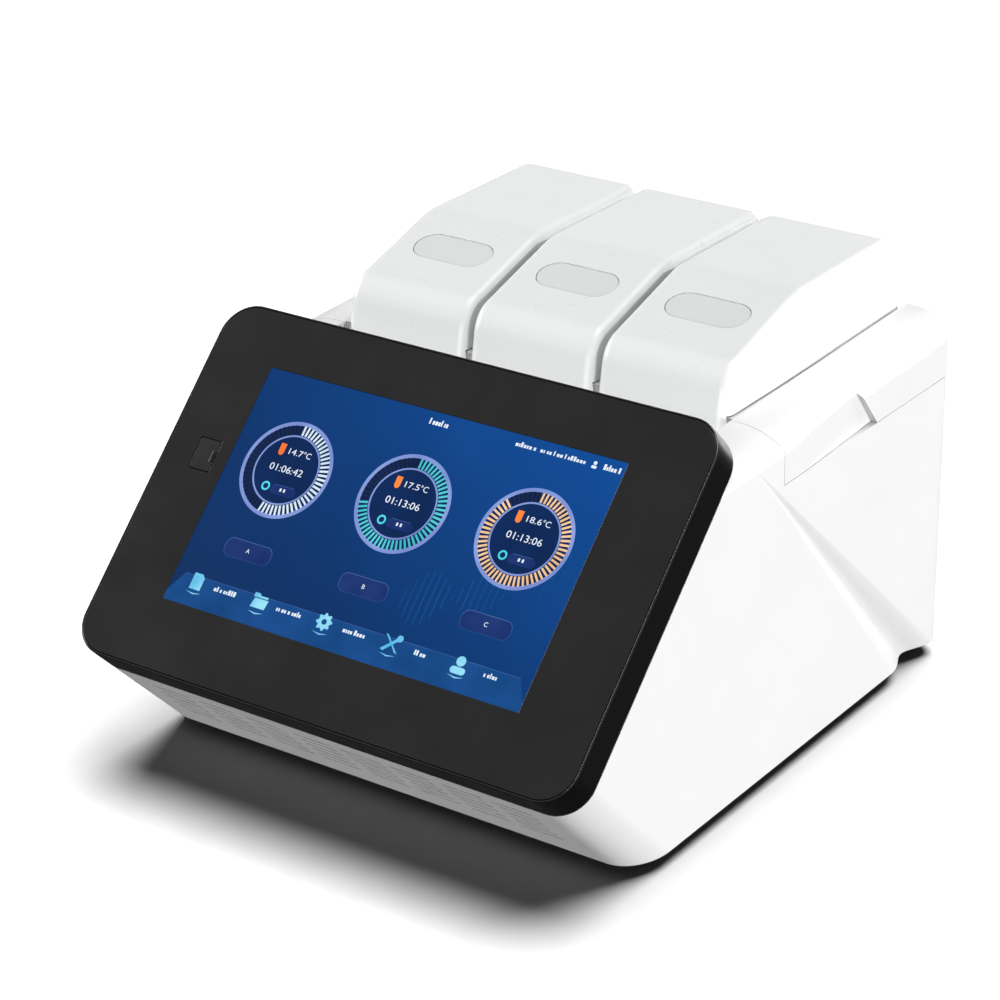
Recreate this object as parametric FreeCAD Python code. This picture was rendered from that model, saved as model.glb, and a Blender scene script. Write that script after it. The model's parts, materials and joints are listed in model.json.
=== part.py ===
import FreeCAD, Part
import math
import os

from FreeCAD import Placement, Rotation
from FreeCAD import Vector as V

os.makedirs("parts", exist_ok=True)

# Bench-top thermal cycler with three lidded sample blocks and a tilted touch screen.
# Millimetres. X runs right, Y runs back, Z runs up, and Z = 0 is under the feet.

# Body
width = 300.0
front_y = -186.0          # foot of the glass
rear_y = 185.0            # rear wall
wall = 2.5
body_foot = 9.0           # underside of the body, standing on the feet
side_seam = 165.0         # joint between lower housing and top cover
front_seam = 7.0          # where the top cover's shoulders begin
seam_gap = 0.3
rear_corner = 14.0

# Tilted display head
screen_tilt = 44.75
glass_foot = 75.0         # height of the glass's lower edge
head_height = 199.5       # along the glass
head_depth = 19.7
head_corner = 19.0
glass_thickness = 2.0
glass_margin = 1.2        # rim of the frame around the glass
lcd_size = (229.5, 149.0, 5.0)
lcd_middle = 103.25       # up the glass from its lower edge
usb_middle = (-124.1, 115.0)
usb_door_size = (12.8, 17.1, 2.2)

# Shoulders beside the lids
shoulder_top = 192.4      # at the front seam
shoulder_rise = 0.0213    # height gained per millimetre towards the rear
shoulder_flat = 124.0     # half width of the level part
shoulder_roll = 42.0      # radius of the roll towards the side wall
shoulder_edge = 5.0
pocket_half = 119.2       # half width of the sunken deck under the lids
front_trough = (8.8, 183.0)   # rear edge and floor of the trough between head and lids
trough_start = 160.0
trough_floor = 187.0

# Valley pressed into each side wall, from a point near the head down to the bottom edge
valley_tip = (-18.5, 182.0)
valley_foot = 151.0
valley_depth = 7.0
valley_half = 22.0

# Finger scoop in each shoulder
scoop_start = 21.0
scoop_end = 100.0
scoop_depth = 3.7
scoop_lean = -0.82        # Y per Z of its rear wall

# Lids
lid_pitch = 78.58
lid_half = 38.85
lid_front_half = 37.7     # narrower front, which leaves a wider gap between two lids
lid_foot = 193.3
skirt_foot = 185.0        # the front wall reaches lower, into the front trough
lid_top = 236.0
lid_wall = 2.2
slope_angle = 16.5
slope_point = (50.0, 227.6)   # on the slope, at the button's middle
lid_front_radius = 18.0   # from the front into the slope
lid_brow_radius = 50.0    # from the slope into the flat top
lid_rear_radius = 10.0
lid_edge = 7.0
hinge_y, hinge_z = 174.0, 199.5
hinge_pin_radius = 2.5
running = 0.06            # radial clearance of a pin that turns

# Latch button and hook
button_size = (47.0, 21.0)
button_gap = 0.35
hook_pivot = (24.0, 209.0)
hook_pin_radius = 1.5

# Sample blocks and what cools them
well_pitch = 9.0
well_columns, well_rows = 4, 8
well_radius = 3.1
well_tip_radius = 1.3
well_depth = 15.0
block_size = (42.0, 78.0)
block_y = 95.0
block_foot, block_top = 171.8, 196.5
peltier_thickness = 3.8
sink_base = 8.0
sink_depth = 50.0
fin_count = 15
plate_foot = 203.0        # heated plate in the lid
plate_thickness = 8.0
liner_foot = 216.5
liner_thickness = 2.0

# Rear
panel_half = 136.0
panel_z = (14.0, 160.0)
fan_size, fan_depth = 80.0, 25.0
fan_radius = 38.0
fan_z = 112.0
fan_pitch = 86.0
guard_thickness = 1.0
inlet_x, inlet_z = -104.0, 40.0
switch_x = -76.0
rocker_y, rocker_tip = 181.8, 10.0
fuse_z = 22.0

tilt = math.radians(screen_tilt)
half = width / 2
deck_top = shoulder_top
screen_pose = Placement(V(0, front_y, glass_foot), Rotation(V(1, 0, 0), screen_tilt))
slope_pose = Placement(V(0, *slope_point), Rotation(V(1, 0, 0), slope_angle))
lid_places = {"a": -lid_pitch, "b": 0.0, "c": lid_pitch}


def box(x0, x1, y0, y1, z0, z1):
    return Part.makeBox(x1 - x0, y1 - y0, z1 - z0, V(x0, y0, z0))


def rod(radius, start, end):
    return Part.makeCylinder(radius, (end - start).Length, start, end - start)


def outline(points, radii):
    # Closed wire through the corners, each rounded by its own radius.
    edges = []
    ends = []
    count = len(points)
    for i in range(count):
        corner = points[i]
        back = (points[i - 1] - corner).normalize()
        ahead = (points[(i + 1) % count] - corner).normalize()
        radius = radii[i]
        if radius == 0:
            ends.append((corner, None, corner))
            continue
        half_angle = back.getAngle(ahead) / 2
        middle = (back + ahead).normalize()
        run = radius / math.tan(half_angle)
        apex = corner + middle * (radius / math.sin(half_angle) - radius)
        ends.append((corner + back * run, apex, corner + ahead * run))
    for i in range(count):
        first, apex, last = ends[i]
        if apex is not None:
            edges.append(Part.Arc(first, apex, last).toShape())
        edges.append(Part.makeLine(last, ends[(i + 1) % count][0]))
    return Part.Wire(edges)


def prism(points, radii, direction):
    if not isinstance(radii, (list, tuple)):
        radii = [radii] * len(points)
    return Part.Face(outline(points, radii)).extrude(direction)


def side_prism(points, x0, x1, radii=0):
    return prism([V(x0, y, z) for y, z in points], radii, V(x1 - x0, 0, 0))


def plate(x0, x1, y0, y1, z0, z1, radius):
    corners = [V(x0, y0, z0), V(x1, y0, z0), V(x1, y1, z0), V(x0, y1, z0)]
    return prism(corners, radius, V(0, 0, z1 - z0))


def stadium(length, height, z0, z1):
    return plate(-length / 2, length / 2, -height / 2, height / 2, z0, z1, height / 2 - 0.01)


def inset_outline(points, insets):
    # Moves each side of a polygon, given clockwise in (Y, Z), inwards by its own distance.
    count = len(points)
    lines = []
    for i in range(count):
        (y0, z0), (y1, z1) = points[i], points[(i + 1) % count]
        length = math.hypot(y1 - y0, z1 - z0)
        dy, dz = (y1 - y0) / length, (z1 - z0) / length
        lines.append((y0 + dz * insets[i], z0 - dy * insets[i], dy, dz))
    moved = []
    for i in range(count):
        y0, z0, dy0, dz0 = lines[i - 1]
        y1, z1, dy1, dz1 = lines[i]
        along = ((y1 - y0) * dz1 - (z1 - z0) * dy1) / (dy0 * dz1 - dz0 * dy1)
        moved.append((y0 + dy0 * along, z0 + dz0 * along))
    return moved


def posed(shape, pose):
    shape.Placement = pose.multiply(shape.Placement)
    return shape


def at_x(shape, x):
    shape = shape.copy()
    shape.translate(V(x, 0, 0))
    return shape


def mirrored(shape):
    return shape.mirror(V(0, 0, 0), V(1, 0, 0))


def joined(shapes):
    return shapes[0].multiFuse(shapes[1:]).removeSplitter()


def spring(radius, wire_radius, z0, z1, turns):
    # Helix of six-sided wire.
    height = z1 - z0 - 2 * wire_radius
    path = Part.Wire(Part.makeHelix(height / turns, height, radius))
    angles = [math.radians(30 + 60 * i) for i in range(6)]
    corners = [V(radius + wire_radius * math.cos(a), 0, wire_radius * math.sin(a)) for a in angles]
    section = Part.makePolygon([*corners, corners[0]])
    coil = path.makePipeShell([section], True, True)
    coil.translate(V(0, 0, z0 + wire_radius))
    return coil


# Body form

def head_back(up, inward):
    # Point (Y, Z) up the head's rear plane and inward from it.
    y = front_y + up * math.cos(tilt) + (head_depth + inward) * math.sin(tilt)
    z = glass_foot + up * math.sin(tilt) - (head_depth + inward) * math.cos(tilt)
    return y, z


def side_form(inset, forward, floor):
    start = head_back(inset, -forward)
    run = (start[1] - floor) / math.cos(tilt)
    foot = (start[0] + run * math.sin(tilt), floor)
    crest = head_back(250, -forward)
    back = rear_y - inset
    return side_prism([start, crest, (back, 260), (back, floor), foot], inset - half, half - inset)


def chin_form(inset):
    reach = 700
    x = half - inset
    corners = [V(-x, inset, 0), V(x, inset, 0), V(x, reach, 0), V(-x, reach, 0)]
    radius = head_corner - inset
    form = prism(corners, [radius, radius, 0, 0], V(0, 0, -reach))
    form.translate(V(0, 0, 10))
    return posed(form, screen_pose)


def plan_form(inset):
    x = half - inset
    y = rear_y - inset
    corners = [V(-x, -400, -50), V(x, -400, -50), V(x, y, -50), V(-x, y, -50)]
    radius = rear_corner - inset
    return prism(corners, [0, 0, radius, radius], V(0, 0, 400))


def shoulder_form(inset):
    # Level middle, a long roll and a small edge, pushed back along a slight rise.
    start, reach = -200.0, 400.0
    top = shoulder_top + (start - front_seam) * shoulder_rise
    x = half - inset
    radius = shoulder_roll - inset
    centre_z = top - shoulder_roll
    turn = math.asin((x - shoulder_flat) / radius)
    edge_z = centre_z + radius * math.cos(turn)
    mid = V(shoulder_flat + radius * math.sin(turn / 2), start, centre_z + radius * math.cos(turn / 2))
    right = [V(shoulder_flat, start, top - inset), mid, V(x, start, edge_z)]
    left = [V(-p.x, p.y, p.z) for p in right]
    foot = -60
    edges = [
        Part.makeLine(left[0], right[0]),
        Part.Arc(*right).toShape(),
        Part.makeLine(right[2], V(x, start, foot)),
        Part.makeLine(V(x, start, foot), V(-x, start, foot)),
        Part.makeLine(V(-x, start, foot), left[2]),
        Part.Arc(*reversed(left)).toShape(),
    ]
    form = Part.Face(Part.Wire(edges)).extrude(V(0, reach, reach * shoulder_rise))
    radius = shoulder_edge - inset
    if radius < 1:
        return form
    crests = []
    for edge in form.Edges:
        middle = edge.BoundBox.Center
        if edge.BoundBox.YLength > 100 and abs(abs(middle.x) - x) < 0.01 and middle.z > 50:
            crests.append(edge)
    return form.makeFillet(radius, crests)


def valley_section(tip, reach):
    # Soft hollow across the valley, closed outside the wall, at a share of the way from the tip.
    deep = V(tip.x, valley_foot, body_foot)
    samples = []
    for i in range(-13, 14):
        share = i / 10
        hollow = 1.05 * math.exp(-(1.7 * share) ** 2) - 0.05
        samples.append(deep + V(-valley_depth * hollow, valley_half * share, 0))
    outside = [samples[-1] + V(6, 0, 0), samples[0] + V(6, 0, 0)]
    samples = [tip + (p - tip) * reach for p in samples]
    outside = [tip + (p - tip) * reach for p in outside]
    curve = Part.BSplineCurve()
    curve.interpolate(samples)
    lines = Part.makePolygon([samples[-1], *outside, samples[0]]).Edges
    return Part.Wire([curve.toShape(), *lines])


def valley(inset):
    # Cone over the soft section: a point at the tip, wide and deep at the foot of the wall.
    tip = V(half - inset * 1.06, *valley_tip)
    return Part.makeLoft([valley_section(tip, 0.02), valley_section(tip, 1.15)], True, True)


def scoop(inset):
    beyond = half + 6
    x0 = half - inset
    x1 = x0 - scoop_depth
    end = scoop_end + inset
    low = side_seam + seam_gap - inset
    high = 205.0
    plan = prism(
        [V(x0, scoop_start, low), V(beyond, scoop_start, low), V(beyond, end, low), V(x1, end, low)],
        0, V(0, 0, high - low))
    lean = side_prism([(0, low), (0, high), (end + scoop_lean * (high - low), high), (end, low)],
                      half - 20, beyond)
    return plan.common(lean)


def body_form(inset=0.0, forward=0.0, floor=body_foot):
    form = side_form(inset, forward, floor)
    for limit in (chin_form(inset), plan_form(inset), shoulder_form(inset)):
        form = form.common(limit)
    for cutter in (valley(inset), scoop(inset)):
        form = form.cut(cutter).cut(mirrored(cutter))
    return form


def trough(grow):
    x = pocket_half + grow
    return box(-x, x, -100, front_trough[0] + grow, front_trough[1] - grow, 260)


def body_shell():
    hollow = body_form(wall, 8.0, body_foot - 5).cut(trough(wall))
    return body_form().cut(trough(0)).cut(hollow)


def rear_opening():
    return box(-panel_half, panel_half, rear_y - 8, rear_y + 8, *panel_z)


def chin_slots():
    # Air slots in rows across the chin, cut square to it.
    slots = []
    columns, rows = 8, 6
    pitch_x, pitch_run = 30.0, 7.0
    for column in range(columns):
        for row in range(rows):
            x = (column - (columns - 1) / 2) * pitch_x
            slot = stadium(24.0, 1.6, -6, 6)
            slot.rotate(V(0, 0, 0), V(1, 0, 0), screen_tilt + 90)
            y, z = head_back(0, 14 + row * pitch_run)
            slot.translate(V(x, y, z))
            slots.append(slot)
    return Part.makeCompound(slots)


def lower_housing():
    shell = body_shell()
    front = box(-200, 200, -250, front_seam, 0, 300)
    lower = box(-200, 200, front_seam - 1, 250, 0, side_seam)
    shell = shell.common(front.fuse(lower))
    shell = shell.cut(rear_opening()).cut(chin_slots())
    ledge = box(half - 9, half - wall + 0.1, 14, scoop_end + 8, side_seam - wall, side_seam)
    return joined([shell, ledge, mirrored(ledge)])


def lid_pocket(grow):
    x = pocket_half + grow
    deck = box(-x, x, front_seam - 20, rear_y + 5, deck_top - grow, 260)
    rear = box(-x, x, trough_start - grow, rear_y + 5, trough_floor - grow, 260)
    return deck.fuse(rear).fuse(trough(grow))


def top_cover():
    region = box(-200, 200, front_seam + seam_gap, 250, side_seam + seam_gap, 300)
    outside = body_form().common(region).cut(lid_pocket(0))
    hollow = body_form(wall, 8.0, body_foot - 5).cut(lid_pocket(wall))
    cover = outside.cut(hollow)
    sample = plate(-23, 23, block_y - 41, block_y + 41, 150, 220, 4)
    slot = box(-8, 8, front_trough[0] + wall + 0.2, 24, 180, 200)
    for x in lid_places.values():
        cover = cover.cut(at_x(sample, x)).cut(at_x(slot, x))
    return cover


def base_pan():
    floor = body_form(wall + 0.3, 0.0, body_foot - 5)
    pan = floor.common(box(-200, 200, -200, rear_y - 4, body_foot, body_foot + 2))
    for column in range(-4, 5):
        for row in range(4):
            y = -60 + row * 9
            pan = pan.cut(plate(column * 24 - 9, column * 24 + 9, y, y + 3, 0, 20, 1.4))
    for place in base_screw_places():
        pan = pan.cut(Part.makeCylinder(1.6, 4, place - V(0, 0, 1)))
    return pan


def foot_places():
    return [V(x, y, 0) for x in (-118, 118) for y in (-92, 138)]


def rubber_feet():
    feet = []
    for place in foot_places():
        foot = Part.makeCone(10, 11.5, body_foot, place)
        feet.append(foot.cut(Part.makeCylinder(4, 4, place)))
    return Part.makeCompound(feet)


def base_screw_places():
    return [V(x, y, body_foot) for x in (-118, 118) for y in (-72, 118)]


def base_screws():
    screws = []
    for place in base_screw_places():
        head = Part.makeCylinder(3, 1.2, place - V(0, 0, 1.2))
        screws.append(head.fuse(Part.makeCylinder(1.5, 2, place)))
    return Part.makeCompound(screws)


def rear_panel():
    gap = 0.4
    x = panel_half - gap
    panel = box(-x, x, rear_y - wall, rear_y, panel_z[0] + gap, panel_z[1] - gap)
    for column in (-1, 0, 1):
        centre = V(column * fan_pitch, 0, fan_z)
        panel = panel.cut(rod(fan_radius, centre + V(0, rear_y - 10, 0), centre + V(0, rear_y + 10, 0)))
    panel = panel.cut(box(inlet_x - 13.8, inlet_x + 13.8, 170, 190, inlet_z - 10.3, inlet_z + 10.3))
    panel = panel.cut(box(switch_x - 7.0, switch_x + 7.0, 170, 190, inlet_z - 10.3, inlet_z + 10.3))
    return panel.cut(box(inlet_x - 9.2, inlet_x + 9.2, 170, 190, fuse_z - 5, fuse_z + 5))


def rear_screws():
    screws = []
    for x in (-panel_half + 5, -fan_pitch / 2, fan_pitch / 2, panel_half - 5):
        for z in (panel_z[0] + 6, panel_z[1] - 5):
            screws.append(rod(2.8, V(x, rear_y, z), V(x, rear_y + 1, z)))
    return Part.makeCompound(screws)


# Display head

def head_plate(margin, front, back):
    x = half - margin
    shape = plate(-x, x, margin, head_height - margin, back, front, head_corner - margin)
    return shape


def usb_hole(grow):
    dx = usb_door_size[0] / 2 + grow
    ds = usb_door_size[1] / 2 + grow
    x, s = usb_middle
    return box(x - dx, x + dx, s - ds, s + ds, -8, 5)


def display_frame():
    frame = head_plate(0, 0, -head_depth)
    frame = frame.cut(head_plate(glass_margin, 5, -glass_thickness - 0.2))
    frame = frame.cut(head_plate(3.5, -6.5, -head_depth + 2.5))
    behind = box(-200, 200, 0, 166, -40, 0)
    frame = frame.cut(head_plate(3.5, -6.5, -30).common(behind))
    dx = lcd_size[0] / 2 + 0.7
    ds = lcd_size[1] / 2 + 0.7
    frame = frame.cut(box(-dx, dx, lcd_middle - ds, lcd_middle + ds, -10, 5))
    return posed(frame.cut(usb_hole(0.3)), screen_pose)


def display_glass():
    glass = head_plate(glass_margin + 0.2, 0, -glass_thickness)
    return posed(glass.cut(usb_hole(0.3)), screen_pose)


def lcd_module():
    dx, ds, thickness = lcd_size[0] / 2, lcd_size[1] / 2, lcd_size[2]
    top = -glass_thickness - 0.3
    panel = plate(-dx, dx, lcd_middle - ds, lcd_middle + ds, top - thickness, top, 1.5)
    return posed(panel, screen_pose)


def display_board():
    board = plate(-95, 95, lcd_middle - 60, lcd_middle + 60, -11.6, -10, 3)
    chips = []
    for x, s, w in ((-60, 80, 14), (0, 110, 22), (48, 85, 12), (60, 130, 16)):
        chips.append(box(x, x + w, s, s + w, -13.4, -11.6))
    return posed(joined([board, *chips]), screen_pose)


def usb_door():
    dx, ds, thickness = usb_door_size
    x, s = usb_middle
    door = plate(x - dx / 2, x + dx / 2, s - ds / 2, s + ds / 2, -thickness, 0, 1.0)
    nib = box(x + dx / 2 - 2.2, x + dx / 2 - 0.8, s - 3, s + 3, 0, 0.5)
    plug = box(x - 1.8, x + 1.8, s - 5.2, s + 5.2, -thickness - 1.2, -thickness)
    return posed(joined([door, nib, plug]), screen_pose)


def usb_socket():
    x, s = usb_middle
    shell = box(x - 2.85, x + 2.85, s - 6.55, s + 6.55, -18.5, -4)
    shell = shell.cut(box(x - 2.3, x + 2.3, s - 6.05, s + 6.05, -15, 0))
    tongue = box(x + 0.1, x + 1.9, s - 5.2, s + 5.2, -15.1, -6)
    return posed(joined([shell, tongue]), screen_pose)


# Electronics and cooling

def main_board():
    board = plate(-90, 90, -95, 5, 17, 18.6, 3)
    posts = [rod(3, V(x, y, body_foot + 2), V(x, y, 17)) for x in (-82, 82) for y in (-87, -3)]
    return joined([board, *posts])


def board_components():
    parts = []
    for column in range(4):
        parts.append(Part.makeCylinder(6, 22, V(-70 + column * 16, -18, 18.6)))
    for column in range(3):
        x = -10 + column * 30
        parts.append(box(x, x + 18, -85, -67, 18.6, 21.6))
    for column in range(5):
        x = 10 + column * 15
        parts.append(box(x, x + 11, -16, -6, 18.6, 28))
    return Part.makeCompound(parts)


def power_supply():
    case = box(-124, 20, 22, 128, body_foot + 2, 62)
    for row in range(9):
        y = 34 + row * 10
        case = case.cut(box(-115, 5, y, y + 4, 60, 70))
    return case


def chassis():
    # Inverted tray whose legs stand on the base pan.
    top, sheet = 160.0, 2.0
    leg = 129.0
    foot = body_foot + 2
    corners = [(-leg - 8, foot), (-leg - 8, foot + sheet), (-leg, foot + sheet), (-leg, top), (leg, top),
               (leg, foot + sheet), (leg + 8, foot + sheet), (leg + 8, foot), (leg - sheet, foot),
               (leg - sheet, top - sheet), (-leg + sheet, top - sheet), (-leg + sheet, foot)]
    tray = prism([V(x, 30, z) for x, z in corners], 0, V(0, 118, 0))
    for x in lid_places.values():
        tray = tray.cut(box(x - 27, x + 27, block_y - 40, block_y + 40, top - 10, top + 10))
    for y in (44, 74, 104):
        side = plate(y, y + 22, 30, 140, -200, 200, 6)
        side.rotate(V(0, 0, 0), V(1, 1, 1), 120)
        tray = tray.cut(side)
    return tray


def heat_sinks():
    sinks = []
    top = block_foot - peltier_thickness
    for x in lid_places.values():
        base = box(x - 32, x + 32, block_y - 46, block_y + 46, top - sink_base, top)
        fins = []
        for index in range(fin_count):
            fin_x = x + (index - (fin_count - 1) / 2) * 3.6
            fins.append(box(fin_x - 0.6, fin_x + 0.6, block_y - 38, block_y + 38,
                            top - sink_base - sink_depth, top - sink_base))
        sinks.append(joined([base, *fins]))
    return Part.makeCompound(sinks)


def peltier_modules():
    modules = []
    for x in lid_places.values():
        for y in (block_y - 20.5, block_y + 20.5):
            modules.append(box(x - 20, x + 20, y - 20, y + 20, block_foot - peltier_thickness, block_foot))
    return Part.makeCompound(modules)


def well_block():
    dx, dy = block_size[0] / 2, block_size[1] / 2
    block = plate(-dx, dx, block_y - dy, block_y + dy, block_foot, block_top, 3)
    wells = []
    for column in range(well_columns):
        for row in range(well_rows):
            x = (column - (well_columns - 1) / 2) * well_pitch
            y = block_y + (row - (well_rows - 1) / 2) * well_pitch
            wells.append(Part.makeCone(well_tip_radius, well_radius, well_depth,
                                       V(x, y, block_top - well_depth)))
    return block.cut(Part.makeCompound(wells))


def block_gaskets():
    rings = []
    dx, dy = block_size[0] / 2, block_size[1] / 2
    for x in lid_places.values():
        ring = plate(-dx - 4, dx + 4, block_y - dy - 4, block_y + dy + 4, deck_top, deck_top + 1.8, 6)
        ring = ring.cut(plate(-dx - 0.3, dx + 0.3, block_y - dy - 0.3, block_y + dy + 0.3, 180, 200, 3.3))
        rings.append(at_x(ring, x))
    return Part.makeCompound(rings)


def fan_middle(column):
    return V(column * fan_pitch, 0, fan_z)


def fan_frames():
    frames = []
    back = rear_y - wall - 0.2
    front = back - fan_depth
    for column in (-1, 0, 1):
        c = fan_middle(column)
        r = fan_size / 2
        frame = box(c.x - r, c.x + r, front, back, c.z - r, c.z + r)
        frame = frame.cut(rod(fan_radius + 0.8, V(c.x, front - 1, c.z), V(c.x, back + 1, c.z)))
        parts = [frame, rod(17, V(c.x, front, c.z), V(c.x, front + 3, c.z))]
        for quarter in range(4):
            spoke = box(16, fan_radius + 1.4, front, front + 3, -2.5, 2.5)
            spoke.rotate(V(0, 0, 0), V(0, 1, 0), 45 + quarter * 90)
            spoke.translate(V(c.x, 0, c.z))
            parts.append(spoke)
        frames.append(joined(parts))
    return Part.makeCompound(frames)


def fan_rotor(column):
    c = fan_middle(column)
    front = rear_y - wall - 0.2 - fan_depth + 4
    back = front + 19
    hub = rod(16, V(0, front, 0), V(0, back, 0))
    parts = [hub]
    blade_count = 7
    for index in range(blade_count):
        blade = box(14, 37, -0.8, 0.8, -11, 11)
        blade.rotate(V(0, 0, 0), V(1, 0, 0), 52)
        blade.translate(V(0, (front + back) / 2, 0))
        blade.rotate(V(0, 0, 0), V(0, 1, 0), index * 360 / blade_count)
        parts.append(blade)
    rotor = joined(parts).common(rod(37, V(0, front, 0), V(0, back, 0)))
    rotor.translate(V(c.x, 0, c.z))
    return rotor


def fan_guards():
    # Stamped rings on four spokes, lying on the rear panel around each fan hole.
    guards = []
    through = V(0, guard_thickness, 0)
    for column in (-1, 0, 1):
        c = fan_middle(column) + V(0, rear_y, 0)
        disc = rod(41.5, c, c + through)
        spokes = []
        for angle in (45, 135):
            spoke = box(-42, 42, 0, guard_thickness, -1.3, 1.3)
            spoke.rotate(V(0, 0, 0), V(0, 1, 0), angle)
            spoke.translate(c)
            spokes.append(spoke)
        for inner, outer in ((2.5, 7.0), (8.8, 14.5), (16.3, 22.0), (23.8, 29.5), (31.3, 37.5)):
            gap = rod(outer, c, c + through).cut(rod(inner, c, c + through))
            disc = disc.cut(gap.cut(spokes[0]).cut(spokes[1]))
        guards.append(disc)
    return Part.makeCompound(guards)


def fan_screws():
    screws = []
    reach = 35.75
    for column in (-1, 0, 1):
        for x in (-reach, reach):
            for z in (-reach, reach):
                place = fan_middle(column) + V(x, rear_y, z)
                screws.append(rod(2.6, place, place + V(0, 1, 0)))
    return Part.makeCompound(screws)


def inlet_socket():
    face = rear_y + 1.0
    socket = box(inlet_x - 13.5, inlet_x + 13.5, face - 22, face, inlet_z - 10, inlet_z + 10)
    flange = plate(-15.5, 15.5, -11.8, 11.8, 0, 0.9, 3)
    flange.rotate(V(0, 0, 0), V(1, 0, 0), 90)
    flange.translate(V(inlet_x, face, inlet_z))
    cavity = prism([V(inlet_x - 12, face - 16, inlet_z - 8.2), V(inlet_x + 12, face - 16, inlet_z - 8.2),
                    V(inlet_x + 12, face - 16, inlet_z + 3), V(inlet_x + 7, face - 16, inlet_z + 8.2),
                    V(inlet_x - 7, face - 16, inlet_z + 8.2), V(inlet_x - 12, face - 16, inlet_z + 3)],
                   1, V(0, 30, 0))
    return joined([socket, flange]).cut(cavity)


def inlet_pins():
    face = rear_y + 1.0
    pins = []
    for dx, dz in ((-7, -2), (7, -2), (0, 2)):
        x, z = inlet_x + dx, inlet_z + dz
        pins.append(box(x - 1, x + 1, face - 16, face - 5, z - 2, z + 2))
    return Part.makeCompound(pins)


def fuse_drawer():
    face = rear_y + 1.0
    front = plate(-8.6, 8.6, -3.4, 3.4, 0, 1.0, 1)
    front.rotate(V(0, 0, 0), V(1, 0, 0), 90)
    front.translate(V(inlet_x, face, fuse_z))
    tray = box(inlet_x - 8.2, inlet_x + 8.2, face - 26, face - 1, fuse_z - 3.2, fuse_z + 3.2)
    tray = tray.cut(box(inlet_x - 7, inlet_x + 7, face - 24.5, face - 3, fuse_z - 2.1, fuse_z + 10))
    return joined([front, tray])


def fuse_holder():
    face = rear_y + 1.0
    sleeve = box(inlet_x - 8.9, inlet_x + 8.9, face - 30, face - 1.2, fuse_z - 4.7, fuse_z + 4.7)
    return sleeve.cut(box(inlet_x - 8.55, inlet_x + 8.55, face - 28, face + 5, fuse_z - 3.5, fuse_z + 3.5))


def fuses():
    face = rear_y + 1.0
    parts = []
    for dx in (-3.4, 3.4):
        parts.append(rod(2.0, V(inlet_x + dx, face - 24.2, fuse_z), V(inlet_x + dx, face - 4.2, fuse_z)))
    return Part.makeCompound(parts)


def switch_body():
    face = rear_y + 1.0
    body = box(switch_x - 6.8, switch_x + 6.8, face - 18, face, inlet_z - 10, inlet_z + 10)
    flange = box(switch_x - 7.6, switch_x + 7.6, face - 0.9, face, inlet_z - 11, inlet_z + 11)
    window = box(switch_x - 5.4, switch_x + 5.4, face - 12, face + 5, inlet_z - 8.6, inlet_z + 8.6)
    return joined([body, flange]).cut(window)


def power_rocker():
    # Shallow V face that tips about its middle. It stands in its off place.
    y = rocker_y
    reach = 7.9
    face = [(y - 3.4, inlet_z - 5), (y + 2.4, inlet_z - reach), (y + 3.4, inlet_z - reach),
            (y + 2.0, inlet_z), (y + 3.4, inlet_z + reach), (y + 2.4, inlet_z + reach), (y - 3.4, inlet_z + 5)]
    rocker = side_prism(face, switch_x - 5.0, switch_x + 5.0)
    rocker.rotate(V(0, y, inlet_z), V(1, 0, 0), rocker_tip)
    return rocker


# Lids

def lid_form(inset, floor):
    lean = math.tan(math.radians(10.4))
    rear_lean = math.tan(math.radians(13.3))
    rise = math.tan(math.radians(slope_angle))
    front_foot = (6.0, lid_foot)
    corner_y = (slope_point[1] - rise * slope_point[0] - lid_foot + front_foot[0] / lean) / (1 / lean - rise)
    front_corner = (corner_y, lid_foot + (corner_y - front_foot[0]) / lean)
    brow = (slope_point[0] + (lid_top - slope_point[1]) / rise, lid_top)
    rear_foot = (184.2, lid_foot)
    rear_corner_y = rear_foot[0] - (lid_top - lid_foot) * rear_lean
    points = [front_foot, front_corner, brow, (rear_corner_y, lid_top), rear_foot]
    points = inset_outline(points, [inset, inset, inset, inset, floor - lid_foot])
    radii = [0, lid_front_radius - inset, lid_brow_radius - inset, lid_rear_radius - inset, 0]
    form = side_prism(points, inset - lid_half, lid_half - inset, radii)
    rims = []
    for edge in form.Edges:
        bounds = edge.BoundBox
        if bounds.XLength < 0.01 and bounds.ZMax > floor + 1:
            rims.append(edge)
    return form.makeFillet(lid_edge - inset, rims)


def lid_reliefs(letter):
    # Slivers off the front of each side that faces another lid.
    reliefs = []
    for side in (-1, 1):
        if (letter == "a" and side < 0) or (letter == "c" and side > 0):
            continue
        corners = [V(side * lid_front_half, -20, 150), V(side * lid_front_half, 74, 150),
                   V(side * lid_half, 86, 150), V(side * (lid_half + 5), 86, 150),
                   V(side * (lid_half + 5), -20, 150)]
        reliefs.append(prism(corners, 0, V(0, 0, 120)))
    return reliefs


def lid_shell(letter):
    shell = lid_form(0, skirt_foot).cut(lid_form(lid_wall, skirt_foot - 5))
    shell = shell.cut(box(-60, 60, 8.3, 250, 150, lid_foot))
    for relief in lid_reliefs(letter):
        shell = shell.cut(relief)
    length, height = button_size
    hole = stadium(length + 2 * button_gap, height + 2 * button_gap, -20, 20)
    shell = shell.cut(posed(hole, slope_pose))
    bosses = []
    for x in (-29, 29):
        for y in (72, 152):
            bosses.append(rod(3.2, V(x, y, liner_foot + liner_thickness), V(x, y, lid_top - lid_wall + 0.2)))
    roof = lid_form(0.3, lid_foot)
    bosses = [boss.common(roof) for boss in bosses]
    return joined([shell, *bosses])


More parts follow.
